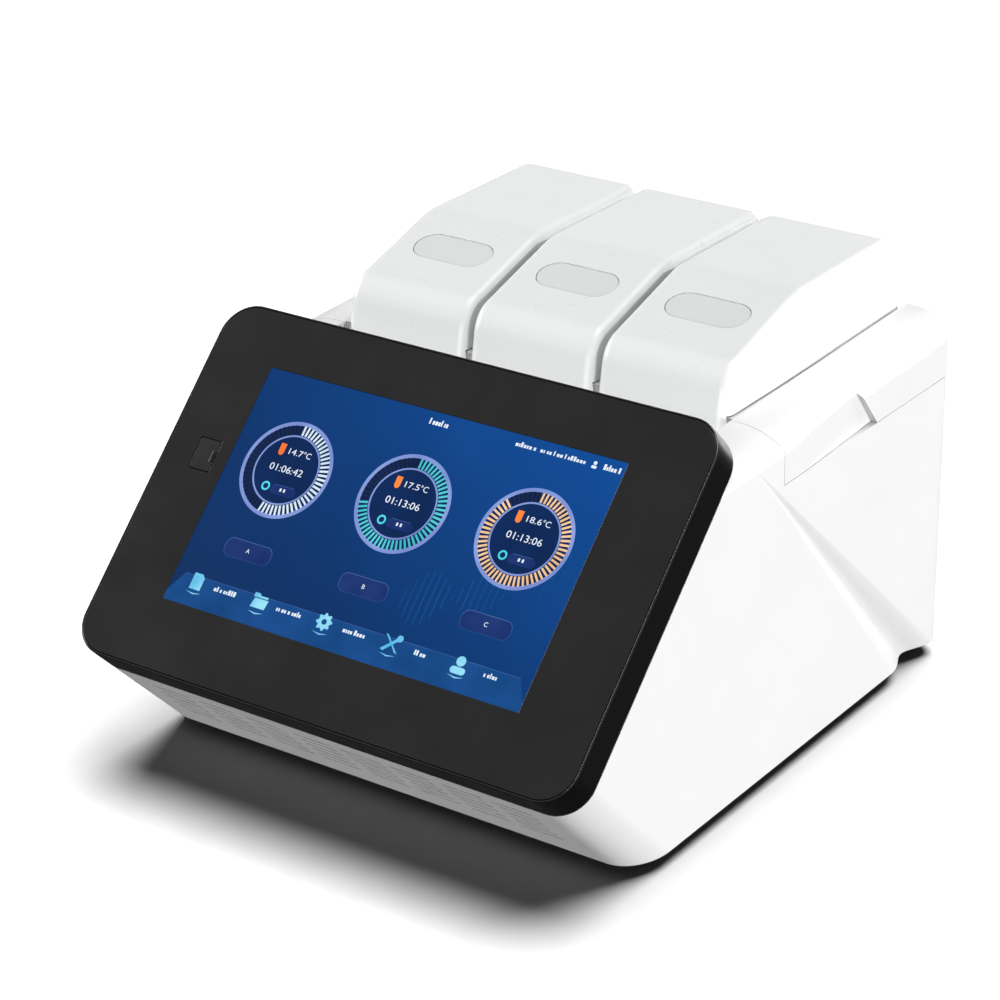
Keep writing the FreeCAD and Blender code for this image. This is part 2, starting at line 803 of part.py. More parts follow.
def lid_liner():
    # Inner carrier: plate, hinge ears at the rear and latch ears at the front.
    top = liner_foot + liner_thickness
    carrier = plate(-34, 34, 58, 164, liner_foot, top, 4)
    tabs = [box(x - 5, x + 5, 46, 60, liner_foot, top) for x in (-16, 16)]
    ears = []
    for side in (-1, 1):
        x0, x1 = sorted((side * 24.0, side * 28.0))
        ears.append(side_prism([(150, top), (164, top), (hinge_y + 4, hinge_z + 2), (hinge_y + 3, hinge_z - 3),
                                (hinge_y - 3, hinge_z - 3), (148, liner_foot)], x0, x1))
        ears.append(rod(4.2, V(x0, hinge_y, hinge_z), V(x1, hinge_y, hinge_z)))
        x0, x1 = sorted((side * 7.5, side * 10.0))
        y, z = hook_pivot
        ears.append(side_prism([(62, top), (62, liner_foot), (46, liner_foot - 3), (y + 4, z - 4),
                                (y - 4, z - 4), (y - 4, z + 4), (39, 215.8), (48, top)], x0, x1))
    carrier = joined([carrier, *tabs, *ears])
    bore = rod(hinge_pin_radius + running, V(-40, hinge_y, hinge_z), V(40, hinge_y, hinge_z))
    pivot = rod(hook_pin_radius + running, V(-12, *hook_pivot), V(12, *hook_pivot))
    carrier = carrier.cut(bore).cut(pivot)
    for x, y in guide_places():
        carrier = carrier.cut(rod(1.8, V(x, y, 200), V(x, y, 230)))
    return carrier


def guide_places():
    return [(x, y) for x in (-20, 20) for y in (block_y - 32, block_y + 32)]


def heated_plate():
    top = plate_foot + plate_thickness
    parts = [plate(-27, 27, block_y - 42, block_y + 42, plate_foot, top, 4)]
    for x, y in guide_places():
        parts.append(rod(1.5, V(x, y, top - 1), V(x, y, liner_foot + liner_thickness + 1.6)))
        head = liner_foot + liner_thickness + 0.3
        parts.append(rod(3.0, V(x, y, head), V(x, y, head + 1.3)))
    return joined(parts)


def plate_springs():
    top = plate_foot + plate_thickness
    coils = []
    for x, y in guide_places():
        coil = spring(2.8, 0.35, top + 0.05, liner_foot - 0.05, 3)
        coil.translate(V(x, y, 0))
        coils.append(coil)
    return Part.makeCompound(coils)


def latch_button():
    length, height = button_size
    cap = stadium(length, height, -3.4, -0.2)
    flange = stadium(length + 4, height + 4, -4.2, -3.0)
    plunger = box(-4, 4, -10.5, -5.0, -10.0, -4.2)
    return posed(joined([cap, flange, plunger]), slope_pose)


def button_springs():
    coils = []
    for x in (-16, 16):
        coil = spring(2.2, 0.3, -8.0, -4.25, 3)
        coil.translate(V(x, 0, 0))
        coils.append(coil)
    return posed(Part.makeCompound(coils), slope_pose)


def latch_hook():
    # Bell crank: a pad under the button, stub pivots, and a hook through the deck.
    y, z = hook_pivot
    crank = side_prism([(15.6, 186.4), (15.6, 200), (y - 4, z - 1), (y - 2, z + 3.5), (38, 214.6), (46, 214.6),
                        (46, 211.6), (y + 3, z - 2), (19.2, 199), (19.2, 190), (21.0, 189.4), (21.0, 188.0)],
                       -6, 6)
    stub = rod(hook_pin_radius, V(-9.6, y, z), V(9.6, y, z))
    hub = rod(3.6, V(-7.2, y, z), V(7.2, y, z))
    return joined([crank, hub, stub])


def latch_strikes():
    strikes = []
    for x in lid_places.values():
        strikes.append(box(x - 7.5, x + 7.5, 21.4, 32, 186.5, deck_top - wall))
    return Part.makeCompound(strikes)


def hinge_brackets():
    brackets = []
    for x in lid_places.values():
        for side in (-1, 1):
            x0, x1 = sorted((x + side * 29.0, x + side * 33.0))
            arm = side_prism([(hinge_y - 14, trough_floor), (hinge_y - 14, hinge_z - 2), (hinge_y - 8, hinge_z + 3.6),
                              (hinge_y, hinge_z + 3.6), (hinge_y, hinge_z - 3.6), (hinge_y - 4, hinge_z - 7),
                              (hinge_y - 4, trough_floor)], x0, x1)
            arm = arm.fuse(rod(3.9, V(x0, hinge_y, hinge_z), V(x1, hinge_y, hinge_z)))
            arm = arm.cut(rod(hinge_pin_radius + 0.03, V(x0 - 1, hinge_y, hinge_z), V(x1 + 1, hinge_y, hinge_z)))
            brackets.append(arm.removeSplitter())
    return Part.makeCompound(brackets)


def hinge_pins():
    pins = []
    for x in lid_places.values():
        pins.append(rod(hinge_pin_radius, V(x - 33.6, hinge_y, hinge_z), V(x + 33.6, hinge_y, hinge_z)))
    return Part.makeCompound(pins)


def export(name, shape):
    shape.exportStep(f"parts/{name}.step")
    print(f"{name:20s} {len(shape.Solids):3d} solids {shape.Volume / 1000:9.2f} cm3 valid {shape.isValid()}")


fixed_parts = [
    lower_housing, top_cover, base_pan, rubber_feet, base_screws, rear_panel, rear_screws,
    display_frame, display_glass, lcd_module, display_board, usb_socket, usb_door,
    main_board, board_components, power_supply, chassis, heat_sinks, peltier_modules,
    block_gaskets, fan_frames, fan_guards, fan_screws, inlet_socket, inlet_pins, fuse_holder, fuse_drawer,
    fuses, switch_body, power_rocker, latch_strikes, hinge_brackets, hinge_pins,
]
lid_parts = [lid_liner, heated_plate, plate_springs, latch_button, button_springs, latch_hook]

for make in fixed_parts:
    export(make.__name__, make())
for letter, place in lid_places.items():
    export(f"well_block_{letter}", at_x(well_block(), place))
    export(f"lid_shell_{letter}", at_x(lid_shell(letter), place))
    for make in lid_parts:
        export(f"{make.__name__}_{letter}", at_x(make(), place))
for letter, column in zip("abc", (-1, 0, 1)):
    export(f"fan_rotor_{letter}", fan_rotor(column))
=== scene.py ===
import json
import math
import random

import bmesh
import bpy
from mathutils import Euler, Matrix, Vector

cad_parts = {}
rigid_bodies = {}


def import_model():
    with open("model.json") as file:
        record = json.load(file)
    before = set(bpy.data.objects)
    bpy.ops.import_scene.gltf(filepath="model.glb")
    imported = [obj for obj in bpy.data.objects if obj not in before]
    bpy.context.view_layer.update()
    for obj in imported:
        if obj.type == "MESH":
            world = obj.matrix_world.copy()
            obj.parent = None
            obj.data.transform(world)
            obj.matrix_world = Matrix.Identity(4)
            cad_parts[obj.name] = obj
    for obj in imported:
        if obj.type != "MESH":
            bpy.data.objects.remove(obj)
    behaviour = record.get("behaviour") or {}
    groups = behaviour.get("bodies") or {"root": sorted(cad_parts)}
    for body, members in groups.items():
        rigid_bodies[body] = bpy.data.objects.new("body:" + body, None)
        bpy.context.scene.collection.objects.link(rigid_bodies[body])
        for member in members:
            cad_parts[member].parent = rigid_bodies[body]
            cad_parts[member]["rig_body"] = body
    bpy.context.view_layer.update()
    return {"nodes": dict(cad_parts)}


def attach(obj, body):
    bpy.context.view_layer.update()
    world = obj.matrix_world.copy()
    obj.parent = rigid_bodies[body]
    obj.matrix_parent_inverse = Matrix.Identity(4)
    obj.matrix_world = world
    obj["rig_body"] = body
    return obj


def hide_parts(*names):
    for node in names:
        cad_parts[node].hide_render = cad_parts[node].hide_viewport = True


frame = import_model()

mm = 0.001
nodes = frame["nodes"]
scene = bpy.context.scene
letters = ("a", "b", "c")
screenTilt = math.radians(44.75)
glassFoot = Vector((0, -186, 75)) * mm
glassPose = Matrix.Translation(glassFoot) @ Matrix.Rotation(screenTilt, 4, "X")

# Camera, light and floor

cameraView = {
    "place": (0.8639, -1.2375, 0.8163),
    "azimuth": 35.381,
    "elevation": 24.699,
    "roll": -0.746,
    "lens": 115.97,
    "sensor": 36.0,
    "farthest": 60,
}

studio = {"skyStrength": 0.05, "backdropStrength": 1.0, "floorSize": 14.0}

# Each sun: power, angular size, tilt, and what it lights
suns = {
    "floorSun": (19.0, 52, (-6, 4, 0), "floor"),
    "topSun": (1.72, 40, (-6, 4, 0), "pieces"),
    "domeFill": (0.85, 170, (0, 0, 0), "pieces"),
}

# Each softbox: power, place, target, size, and what it lights
softboxes = {
    "sideSoftbox": (62, (2.45, 0.1, 0.2), (0.1, 0.0, 0.1), (1.8, 0.8), "pale"),
    "frontSoftbox": (52, (0.3, -3.0, -0.25), (0.0, 0.0, 0.2), (1.6, 0.8), "lids"),
    "backSoftbox": (60, (0.4, 3.0, 0.9), (0.0, 0.0, 0.1), (2.0, 1.0), "pieces"),
    "leftSoftbox": (50, (-2.6, -0.2, 0.7), (0.0, 0.0, 0.1), (1.8, 1.0), "pieces"),
    "lowFill": (6.4, (0.0, -0.8, -0.9), (0.0, -0.15, 0.03), (1.2, 0.8), "housing"),
}


def addCamera(view):
    azimuth, elevation, roll = (math.radians(view[key]) for key in ("azimuth", "elevation", "roll"))
    backward = Vector((math.sin(azimuth) * math.cos(elevation), -math.cos(azimuth) * math.cos(elevation),
                       math.sin(elevation)))
    level = Vector((0, 0, 1)).cross(backward).normalized()
    upright = backward.cross(level)
    right = math.cos(roll) * level + math.sin(roll) * upright
    up = math.cos(roll) * upright - math.sin(roll) * level
    data = bpy.data.cameras.new("mainCamera")
    data.lens = view["lens"]
    data.sensor_width = view["sensor"]
    data.clip_end = view["farthest"]
    camera = bpy.data.objects.new("mainCamera", data)
    turn = Matrix((right, up, backward)).transposed().to_4x4()
    camera.matrix_world = Matrix.Translation(Vector(view["place"])) @ turn
    scene.collection.objects.link(camera)
    scene.camera = camera


def lightOnly(lamp, receivers, blockers=None):
    # The lamp lights these objects and no others, and only the blockers shade them from it.
    lit = bpy.data.collections.new(lamp.name + "Lit")
    for item in receivers:
        lit.objects.link(item)
    lamp.light_linking.receiver_collection = lit
    if blockers:
        shading = bpy.data.collections.new(lamp.name + "Shading")
        for item in blockers:
            shading.objects.link(item)
        lamp.light_linking.blocker_collection = shading


def addSoftbox(name, power, place, target, size, receivers, blockers):
    data = bpy.data.lights.new(name, "AREA")
    data.shape = "RECTANGLE"
    data.size, data.size_y = size
    data.energy = power
    lamp = bpy.data.objects.new(name, data)
    aim = (Vector(target) - Vector(place)).to_track_quat("-Z", "Y")
    lamp.matrix_world = Matrix.Translation(Vector(place)) @ aim.to_matrix().to_4x4()
    scene.collection.objects.link(lamp)
    lightOnly(lamp, receivers, blockers)


def addSun(name, power, spreadAngle, tilt, receivers):
    data = bpy.data.lights.new(name, "SUN")
    data.energy = power
    data.angle = math.radians(spreadAngle)
    lamp = bpy.data.objects.new(name, data)
    lamp.rotation_euler = Euler([math.radians(angle) for angle in tilt])
    scene.collection.objects.link(lamp)
    lightOnly(lamp, receivers)


def addStudio(setup):
    world = bpy.data.worlds.new("studioSky")
    world.use_nodes = True
    sky = world.node_tree.nodes["Background"]
    sky.inputs["Color"].default_value = (1, 1, 1, 1)
    # A pale backdrop that lights the object only faintly.
    path = world.node_tree.nodes.new("ShaderNodeLightPath")
    glow = world.node_tree.nodes.new("ShaderNodeMapRange")
    glow.inputs["To Min"].default_value = setup["skyStrength"]
    glow.inputs["To Max"].default_value = setup["backdropStrength"]
    world.node_tree.links.new(path.outputs["Is Camera Ray"], glow.inputs["Value"])
    world.node_tree.links.new(glow.outputs["Result"], sky.inputs["Strength"])
    scene.world = world
    pieces = [item for item in scene.objects if item.type == "MESH"]
    bpy.ops.mesh.primitive_plane_add(size=setup["floorSize"])
    floor = bpy.context.object
    floor.name = "studioFloor"
    floor.data.materials.append(floorPaper())
    floor.visible_diffuse = False
    floor.visible_glossy = False
    floor.visible_shadow = False
    onLids = ("lid", "button", "plate", "hook")
    groups = {
        "floor": [floor],
        "pieces": pieces,
        "pale": [item for item in pieces if not item.name.startswith(("screen", "usb", "display"))],
        "lids": [item for item in pieces if item.get("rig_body", "").startswith(onLids)],
        "housing": [item for item in pieces if item.name in ("lowerHousing", "lower_housing")],
    }
    for name, (power, size, tilt, group) in suns.items():
        addSun(name, power, size, tilt, groups[group])
    for name, (power, place, target, size, group) in softboxes.items():
        shading = groups["lids"] if group == "lids" else None  # the display would shade the lid fronts
        addSoftbox(name, power, place, target, size, groups[group], shading)
    scene.view_settings.view_transform = "Standard"


# Finishes

def startMaterial(name):
    material = bpy.data.materials.new(name)
    material.use_nodes = True
    tree = material.node_tree
    return material, tree, tree.nodes["Principled BSDF"]


def addNode(tree, kind, **values):
    made = tree.nodes.new(kind)
    for key, value in values.items():
        if key in made.inputs:
            made.inputs[key].default_value = value
        else:
            setattr(made, key, value)
    return made


def objectPoint(tree, turn=(0, 0, 0), shift=(0, 0, 0), stretch=(1, 1, 1)):
    where = addNode(tree, "ShaderNodeTexCoord")
    mapping = addNode(tree, "ShaderNodeMapping", Location=shift, Rotation=turn, Scale=stretch)
    tree.links.new(where.outputs["Object"], mapping.inputs["Vector"])
    return mapping.outputs["Vector"]


def noiseField(tree, point, scale, detail=3.0, rough=0.5):
    field = addNode(tree, "ShaderNodeTexNoise", Scale=scale, Detail=detail, Roughness=rough)
    tree.links.new(point, field.inputs["Vector"])
    return field.outputs["Fac"]


def rampBetween(tree, factor, stops):
    ramp = addNode(tree, "ShaderNodeValToRGB")
    while len(ramp.color_ramp.elements) < len(stops):
        ramp.color_ramp.elements.new(0.5)
    for element, (place, colour) in zip(ramp.color_ramp.elements, stops):
        element.position = place
        element.color = (*colour, 1)
    tree.links.new(factor, ramp.inputs["Fac"])
    return ramp.outputs["Color"]


def spread(tree, factor, low, high):
    part = addNode(tree, "ShaderNodeMapRange")
    part.inputs["To Min"].default_value = low
    part.inputs["To Max"].default_value = high
    part.inputs["From Min"].default_value = 0.3
    part.inputs["From Max"].default_value = 0.7
    tree.links.new(factor, part.inputs["Value"])
    return part.outputs["Result"]


def addBump(tree, shader, height, strength, distance):
    bump = addNode(tree, "ShaderNodeBump", Strength=strength, Distance=distance)
    tree.links.new(height, bump.inputs["Height"])
    tree.links.new(bump.outputs["Normal"], shader.inputs["Normal"])


def scaled(colour, factor):
    return tuple(min(1.0, c * factor) for c in colour)


def mouldedPlastic(name, colour, roughness=0.35, grain=0.08, mottle=0.03, grainScale=900, specular=0.5):
    material, tree, shader = startMaterial(name)
    point = objectPoint(tree)
    cloud = noiseField(tree, point, 14.0)
    tree.links.new(rampBetween(tree, cloud, [(0.3, scaled(colour, 1 - mottle)), (0.7, colour)]),
                   shader.inputs["Base Color"])
    patch = noiseField(tree, point, 55.0)
    tree.links.new(spread(tree, patch, roughness - 0.04, roughness + 0.05), shader.inputs["Roughness"])
    addBump(tree, shader, noiseField(tree, point, grainScale, 2.0), grain, 0.0001)
    shader.inputs["Specular IOR Level"].default_value = specular
    return material


def workedMetal(name, colour, roughness=0.3, stretch=(1, 1, 1), lineScale=700, lines=0.15):
    material, tree, shader = startMaterial(name)
    point = objectPoint(tree, stretch=stretch)
    line = noiseField(tree, point, lineScale, 4.0, 0.6)
    tree.links.new(rampBetween(tree, line, [(0.3, scaled(colour, 0.86)), (0.7, colour)]),
                   shader.inputs["Base Color"])
    tree.links.new(spread(tree, line, roughness - 0.07, roughness + 0.08), shader.inputs["Roughness"])
    addBump(tree, shader, line, lines, 0.00008)
    shader.inputs["Metallic"].default_value = 1.0
    return material


def spangledSteel(name, colour, roughness=0.4):
    material, tree, shader = startMaterial(name)
    point = objectPoint(tree)
    crystals = addNode(tree, "ShaderNodeTexVoronoi", Scale=140.0)
    tree.links.new(point, crystals.inputs["Vector"])
    grey = addNode(tree, "ShaderNodeRGBToBW")
    tree.links.new(crystals.outputs["Color"], grey.inputs["Color"])
    tree.links.new(rampBetween(tree, grey.outputs["Val"], [(0.0, scaled(colour, 0.8)), (1.0, colour)]),
                   shader.inputs["Base Color"])
    tree.links.new(spread(tree, grey.outputs["Val"], roughness - 0.08, roughness + 0.1),
                   shader.inputs["Roughness"])
    addBump(tree, shader, noiseField(tree, point, 500.0), 0.1, 0.0001)
    shader.inputs["Metallic"].default_value = 1.0
    return material


def circuitBoard(name, colour, trace):
    material, tree, shader = startMaterial(name)
    point = objectPoint(tree)
    tracks = addNode(tree, "ShaderNodeTexBrick", Scale=220.0)
    tracks.inputs["Color1"].default_value = (*colour, 1)
    tracks.inputs["Color2"].default_value = (*scaled(colour, 0.8), 1)
    tracks.inputs["Mortar"].default_value = (*trace, 1)
    tracks.inputs["Mortar Size"].default_value = 0.06
    tree.links.new(point, tracks.inputs["Vector"])
    tree.links.new(tracks.outputs["Color"], shader.inputs["Base Color"])
    patch = noiseField(tree, point, 120.0)
    tree.links.new(spread(tree, patch, 0.3, 0.42), shader.inputs["Roughness"])
    addBump(tree, shader, tracks.outputs["Fac"], 0.2, 0.0001)
    return material


def softRubber(name, colour, roughness=0.7):
    return mouldedPlastic(name, colour, roughness, grain=0.25, mottle=0.2, grainScale=600, specular=0.3)


def blackGlass(name):
    material, tree, shader = startMaterial(name)
    point = objectPoint(tree)
    haze = noiseField(tree, point, 30.0)
    tree.links.new(rampBetween(tree, haze, [(0.3, (0.0185, 0.0185, 0.0185)), (0.7, (0.021, 0.021, 0.021))]),
                   shader.inputs["Base Color"])
    tree.links.new(spread(tree, haze, 0.22, 0.3), shader.inputs["Roughness"])
    addBump(tree, shader, noiseField(tree, point, 1600.0, 1.0), 0.015, 0.00005)
    shader.inputs["Specular IOR Level"].default_value = 0.34
    return material


def clearGlass(name):
    material, tree, shader = startMaterial(name)
    point = objectPoint(tree)
    haze = noiseField(tree, point, 200.0)
    tree.links.new(spread(tree, haze, 0.02, 0.06), shader.inputs["Roughness"])
    tree.links.new(rampBetween(tree, haze, [(0.3, (0.86, 0.9, 0.88)), (0.7, (0.92, 0.95, 0.93))]),
                   shader.inputs["Base Color"])
    addBump(tree, shader, haze, 0.01, 0.00005)
    shader.inputs["Transmission Weight"].default_value = 0.9
    return material


def floorPaper():
    material, tree, shader = startMaterial("floorPaper")
    point = objectPoint(tree)
    fibre = noiseField(tree, point, 40.0)
    tree.links.new(rampBetween(tree, fibre, [(0.3, (0.22, 0.22, 0.22)), (0.7, (0.23, 0.23, 0.23))]),
                   shader.inputs["Base Color"])
    tree.links.new(spread(tree, fibre, 0.8, 0.9), shader.inputs["Roughness"])
    shader.inputs["Specular IOR Level"].default_value = 0.1
    return material


def litInk(name, low, high, glow=1.0, gloss=0.25):
    material, tree, shader = startMaterial(name)
    point = objectPoint(tree)
    shade = noiseField(tree, point, 60.0, 1.0)
    colour = rampBetween(tree, shade, [(0.3, low), (0.7, high)])
    tree.links.new(colour, shader.inputs["Emission Color"])
    shader.inputs["Emission Strength"].default_value = glow
    tree.links.new(rampBetween(tree, shade, [(0.3, scaled(low, 0.1)), (0.7, scaled(high, 0.1))]),
                   shader.inputs["Base Color"])
    tree.links.new(spread(tree, shade, gloss - 0.03, gloss + 0.03), shader.inputs["Roughness"])
    addBump(tree, shader, shade, 0.01, 0.00002)
    shader.inputs["Specular IOR Level"].default_value = 0.15
    return material


def screenGlow(name):
    material, tree, shader = startMaterial(name)
    back = Matrix.Rotation(-screenTilt, 4, "X")
    shift = -(back @ glassFoot)
    point = objectPoint(tree, turn=(-screenTilt, 0, 0), shift=shift)
    parts = addNode(tree, "ShaderNodeSeparateXYZ")
    tree.links.new(point, parts.inputs["Vector"])
    across = addNode(tree, "ShaderNodeMapRange")
    across.inputs["From Min"].default_value = -0.112
    across.inputs["From Max"].default_value = 0.108
    tree.links.new(parts.outputs["X"], across.inputs["Value"])
    upward = addNode(tree, "ShaderNodeMapRange")
    upward.inputs["From Min"].default_value = 0.05
    upward.inputs["From Max"].default_value = 0.169
    tree.links.new(parts.outputs["Y"], upward.inputs["Value"])
    cloud = noiseField(tree, point, 9.0, 2.0)
    blend = addNode(tree, "ShaderNodeMath", operation="MULTIPLY_ADD")
    blend.inputs[1].default_value = 0.42
    tree.links.new(across.outputs["Result"], blend.inputs[0])
    rise = addNode(tree, "ShaderNodeMath", operation="MULTIPLY_ADD")
    rise.inputs[1].default_value = 0.38
    tree.links.new(upward.outputs["Result"], rise.inputs[0])
    ripple = addNode(tree, "ShaderNodeMath", operation="MULTIPLY")
    ripple.inputs[1].default_value = 0.3
    tree.links.new(cloud, ripple.inputs[0])
    tree.links.new(ripple.outputs[0], rise.inputs[2])
    tree.links.new(rise.outputs[0], blend.inputs[2])
    colour = rampBetween(tree, blend.outputs[0], [
        (0.0, (0.0006, 0.017, 0.075)), (0.35, (0.0008, 0.03, 0.135)), (0.65, (0.0009, 0.047, 0.21)),
        (1.0, (0.0018, 0.078, 0.34))])
    tree.links.new(colour, shader.inputs["Emission Color"])
    shader.inputs["Emission Strength"].default_value = 1.0
    tree.links.new(rampBetween(tree, cloud, [(0.3, (0.001, 0.003, 0.01)), (0.7, (0.002, 0.004, 0.014))]),
                   shader.inputs["Base Color"])
    tree.links.new(spread(tree, cloud, 0.2, 0.26), shader.inputs["Roughness"])
    addBump(tree, shader, cloud, 0.01, 0.00002)
    shader.inputs["Specular IOR Level"].default_value = 0.15
    return material


finishes = {
    "housingWhite": mouldedPlastic("housingWhite", (0.75, 0.755, 0.75), 0.34, 0.02, 0.015, 240),
    "lidWhite": mouldedPlastic("lidWhite", (0.79, 0.8, 0.8), 0.3, 0.015, 0.015, 240),
    "buttonGrey": mouldedPlastic("buttonGrey", (0.7, 0.71, 0.71), 0.38, 0.06, 0.02),
    "frameBlack": mouldedPlastic("frameBlack", (0.018, 0.018, 0.018), 0.3, 0.05, 0.15, 1200, 0.4),
    "frameRim": mouldedPlastic("frameRim", (0.03, 0.03, 0.03), 0.13, 0.01, 0.1, 1200, 0.6),
    "screenBlack": blackGlass("screenBlack"),
    "screenPanel": mouldedPlastic("screenPanel", (0.02, 0.02, 0.022), 0.25, 0.02, 0.1),
    "doorBlack": mouldedPlastic("doorBlack", (0.016, 0.016, 0.016), 0.4, 0.1, 0.1, 1500, 0.35),
    "panGrey": workedMetal("panGrey", (0.5, 0.51, 0.52), 0.42, (1, 20, 1), 60, 0.1),
    "panelGrey": mouldedPlastic("panelGrey", (0.62, 0.63, 0.63), 0.5, 0.22, 0.03, 700),
    "footRubber": softRubber("footRubber", (0.035, 0.035, 0.036)),
    "screwSteel": workedMetal("screwSteel", (0.62, 0.61, 0.6), 0.28, (1, 1, 1), 900, 0.1),
    "boardGreen": circuitBoard("boardGreen", (0.01, 0.09, 0.035), (0.03, 0.2, 0.09)),
    "componentBlack": mouldedPlastic("componentBlack", (0.03, 0.03, 0.033), 0.45, 0.15, 0.25, 800),
    "socketSteel": workedMetal("socketSteel", (0.66, 0.66, 0.67), 0.25, (1, 1, 30), 60, 0.1),
    "galvanisedSteel": spangledSteel("galvanisedSteel", (0.66, 0.67, 0.68)),
    "sinkAluminium": workedMetal("sinkAluminium", (0.78, 0.79, 0.8), 0.35, (1, 25, 1), 50, 0.15),
    "moduleCeramic": mouldedPlastic("moduleCeramic", (0.78, 0.77, 0.73), 0.6, 0.2, 0.05, 1200),
    "blockAluminium": workedMetal("blockAluminium", (0.74, 0.75, 0.76), 0.3, (1, 1, 1), 1400, 0.12),
    "gasketSilicone": softRubber("gasketSilicone", (0.19, 0.2, 0.21), 0.6),
    "fanBlack": mouldedPlastic("fanBlack", (0.022, 0.022, 0.024), 0.5, 0.2, 0.2, 900),
    "guardSteel": workedMetal("guardSteel", (0.6, 0.6, 0.6), 0.32, (1, 1, 1), 120, 0.03),
    "inletBlack": mouldedPlastic("inletBlack", (0.025, 0.025, 0.026), 0.42, 0.15, 0.15, 900),
    "pinBrass": workedMetal("pinBrass", (0.78, 0.62, 0.3), 0.25, (1, 30, 1), 60, 0.1),
    "fuseGlass": clearGlass("fuseGlass"),
    "rockerBlack": mouldedPlastic("rockerBlack", (0.02, 0.02, 0.02), 0.3, 0.08, 0.15, 900),
    "linerGrey": mouldedPlastic("linerGrey", (0.3, 0.31, 0.32), 0.5, 0.2, 0.06, 700),
    "plateAluminium": workedMetal("plateAluminium", (0.72, 0.73, 0.74), 0.27, (30, 1, 1), 60, 0.14),
    "springSteel": workedMetal("springSteel", (0.6, 0.6, 0.6), 0.22, (1, 1, 1), 1500, 0.08),
    "hookPlastic": mouldedPlastic("hookPlastic", (0.12, 0.12, 0.125), 0.45, 0.15, 0.1, 900),
    "screenPicture": screenGlow("screenPicture"),
    "inkWhite": litInk("inkWhite", (0.72, 0.8, 0.92), (0.86, 0.92, 0.98)),
    "inkTickWhite": litInk("inkTickWhite", (0.56, 0.72, 0.86), (0.78, 0.88, 0.95)),
    "inkTickCyan": litInk("inkTickCyan", (0.05, 0.45, 0.55), (0.1, 0.62, 0.66)),
    "inkTickPeach": litInk("inkTickPeach", (0.78, 0.46, 0.22), (0.9, 0.6, 0.34)),
    "inkTickNavy": litInk("inkTickNavy", (0.004, 0.007, 0.03), (0.006, 0.012, 0.045)),
    "inkRing": litInk("inkRing", (0.17, 0.24, 0.58), (0.25, 0.34, 0.7)),
    "inkDial": litInk("inkDial", (0.001, 0.016, 0.075), (0.001, 0.02, 0.1)),
    "inkPill": litInk("inkPill", (0.006, 0.024, 0.13), (0.012, 0.036, 0.17)),
    "inkPillEdge": litInk("inkPillEdge", (0.03, 0.09, 0.3), (0.06, 0.13, 0.38)),
    "inkOrange": litInk("inkOrange", (0.85, 0.16, 0.03), (0.95, 0.26, 0.05)),
    "inkCyan": litInk("inkCyan", (0.04, 0.55, 0.65), (0.1, 0.7, 0.8)),
    "inkIcon": litInk("inkIcon", (0.06, 0.42, 0.72), (0.32, 0.74, 0.9)),
    "inkBand": litInk("inkBand", (0.004, 0.055, 0.2), (0.007, 0.07, 0.26)),
    "inkHelix": litInk("inkHelix", (0.0018, 0.06, 0.22), (0.0026, 0.075, 0.26)),
}
print("finishes made:", len(finishes))

# Finish of each CAD node, by its name without the letter

nodeFinish = {
    "base_pan": "panGrey", "rubber_feet": "footRubber", "base_screws": "screwSteel",
    "rear_panel": "panelGrey", "rear_screws": "screwSteel", "lcd_module": "screenPanel",
    "display_board": "boardGreen", "usb_socket": "socketSteel", "main_board": "boardGreen",
    "board_components": "componentBlack", "power_supply": "galvanisedSteel", "chassis": "galvanisedSteel",
    "heat_sinks": "sinkAluminium", "peltier_modules": "moduleCeramic", "block_gaskets": "gasketSilicone",
    "fan_frames": "fanBlack", "fan_guards": "guardSteel", "fan_screws": "screwSteel",
    "inlet_socket": "inletBlack", "inlet_pins": "pinBrass", "fuse_holder": "inletBlack",
    "fuse_drawer": "inletBlack", "fuses": "fuseGlass", "switch_body": "inletBlack",
    "power_rocker": "rockerBlack", "latch_strikes": "galvanisedSteel", "hinge_brackets": "galvanisedSteel",
    "hinge_pins": "screwSteel", "well_block": "blockAluminium", "lid_liner": "linerGrey",
    "heated_plate": "plateAluminium", "plate_springs": "springSteel", "button_springs": "springSteel",
    "latch_hook": "hookPlastic", "fan_rotor": "fanBlack", "lower_housing": "housingWhite",
    "top_cover": "housingWhite", "display_frame": "frameBlack", "display_glass": "screenBlack",
    "usb_door": "doorBlack", "lid_shell": "lidWhite", "latch_button": "buttonGrey",
}


def plainName(node):
    return node[:-2] if node[-2:] in ("_a", "_b", "_c") else node


def dressNodes():
    for name, item in nodes.items():
        item.data.materials.clear()
        item.data.materials.append(finishes[nodeFinish[plainName(name)]])


# Mesh helpers

def addObject(name, mesh, finish, body, rim=None):
    made = bpy.data.objects.new(name, mesh)
    scene.collection.objects.link(made)
    wanted = [finishes[finish]] + ([finishes[rim]] if rim else [])
    if len(mesh.materials) != len(wanted):
        mesh.materials.clear()
        for material in wanted:
            mesh.materials.append(material)
    for index, material in enumerate(wanted):
        mesh.materials[index] = material
    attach(made, body)
    return made


def settled(source, name):
    # The evaluated shape as a plain mesh.
    bpy.context.view_layer.update()
    evaluated = source.evaluated_get(bpy.context.evaluated_depsgraph_get())
    mesh = bpy.data.meshes.new_from_object(evaluated)
    mesh.name = name
    return mesh


def dropObject(item):
    data = item.data
    bpy.data.objects.remove(item)
    if data and data.users == 0 and isinstance(data, bpy.types.Mesh):
        bpy.data.meshes.remove(data)


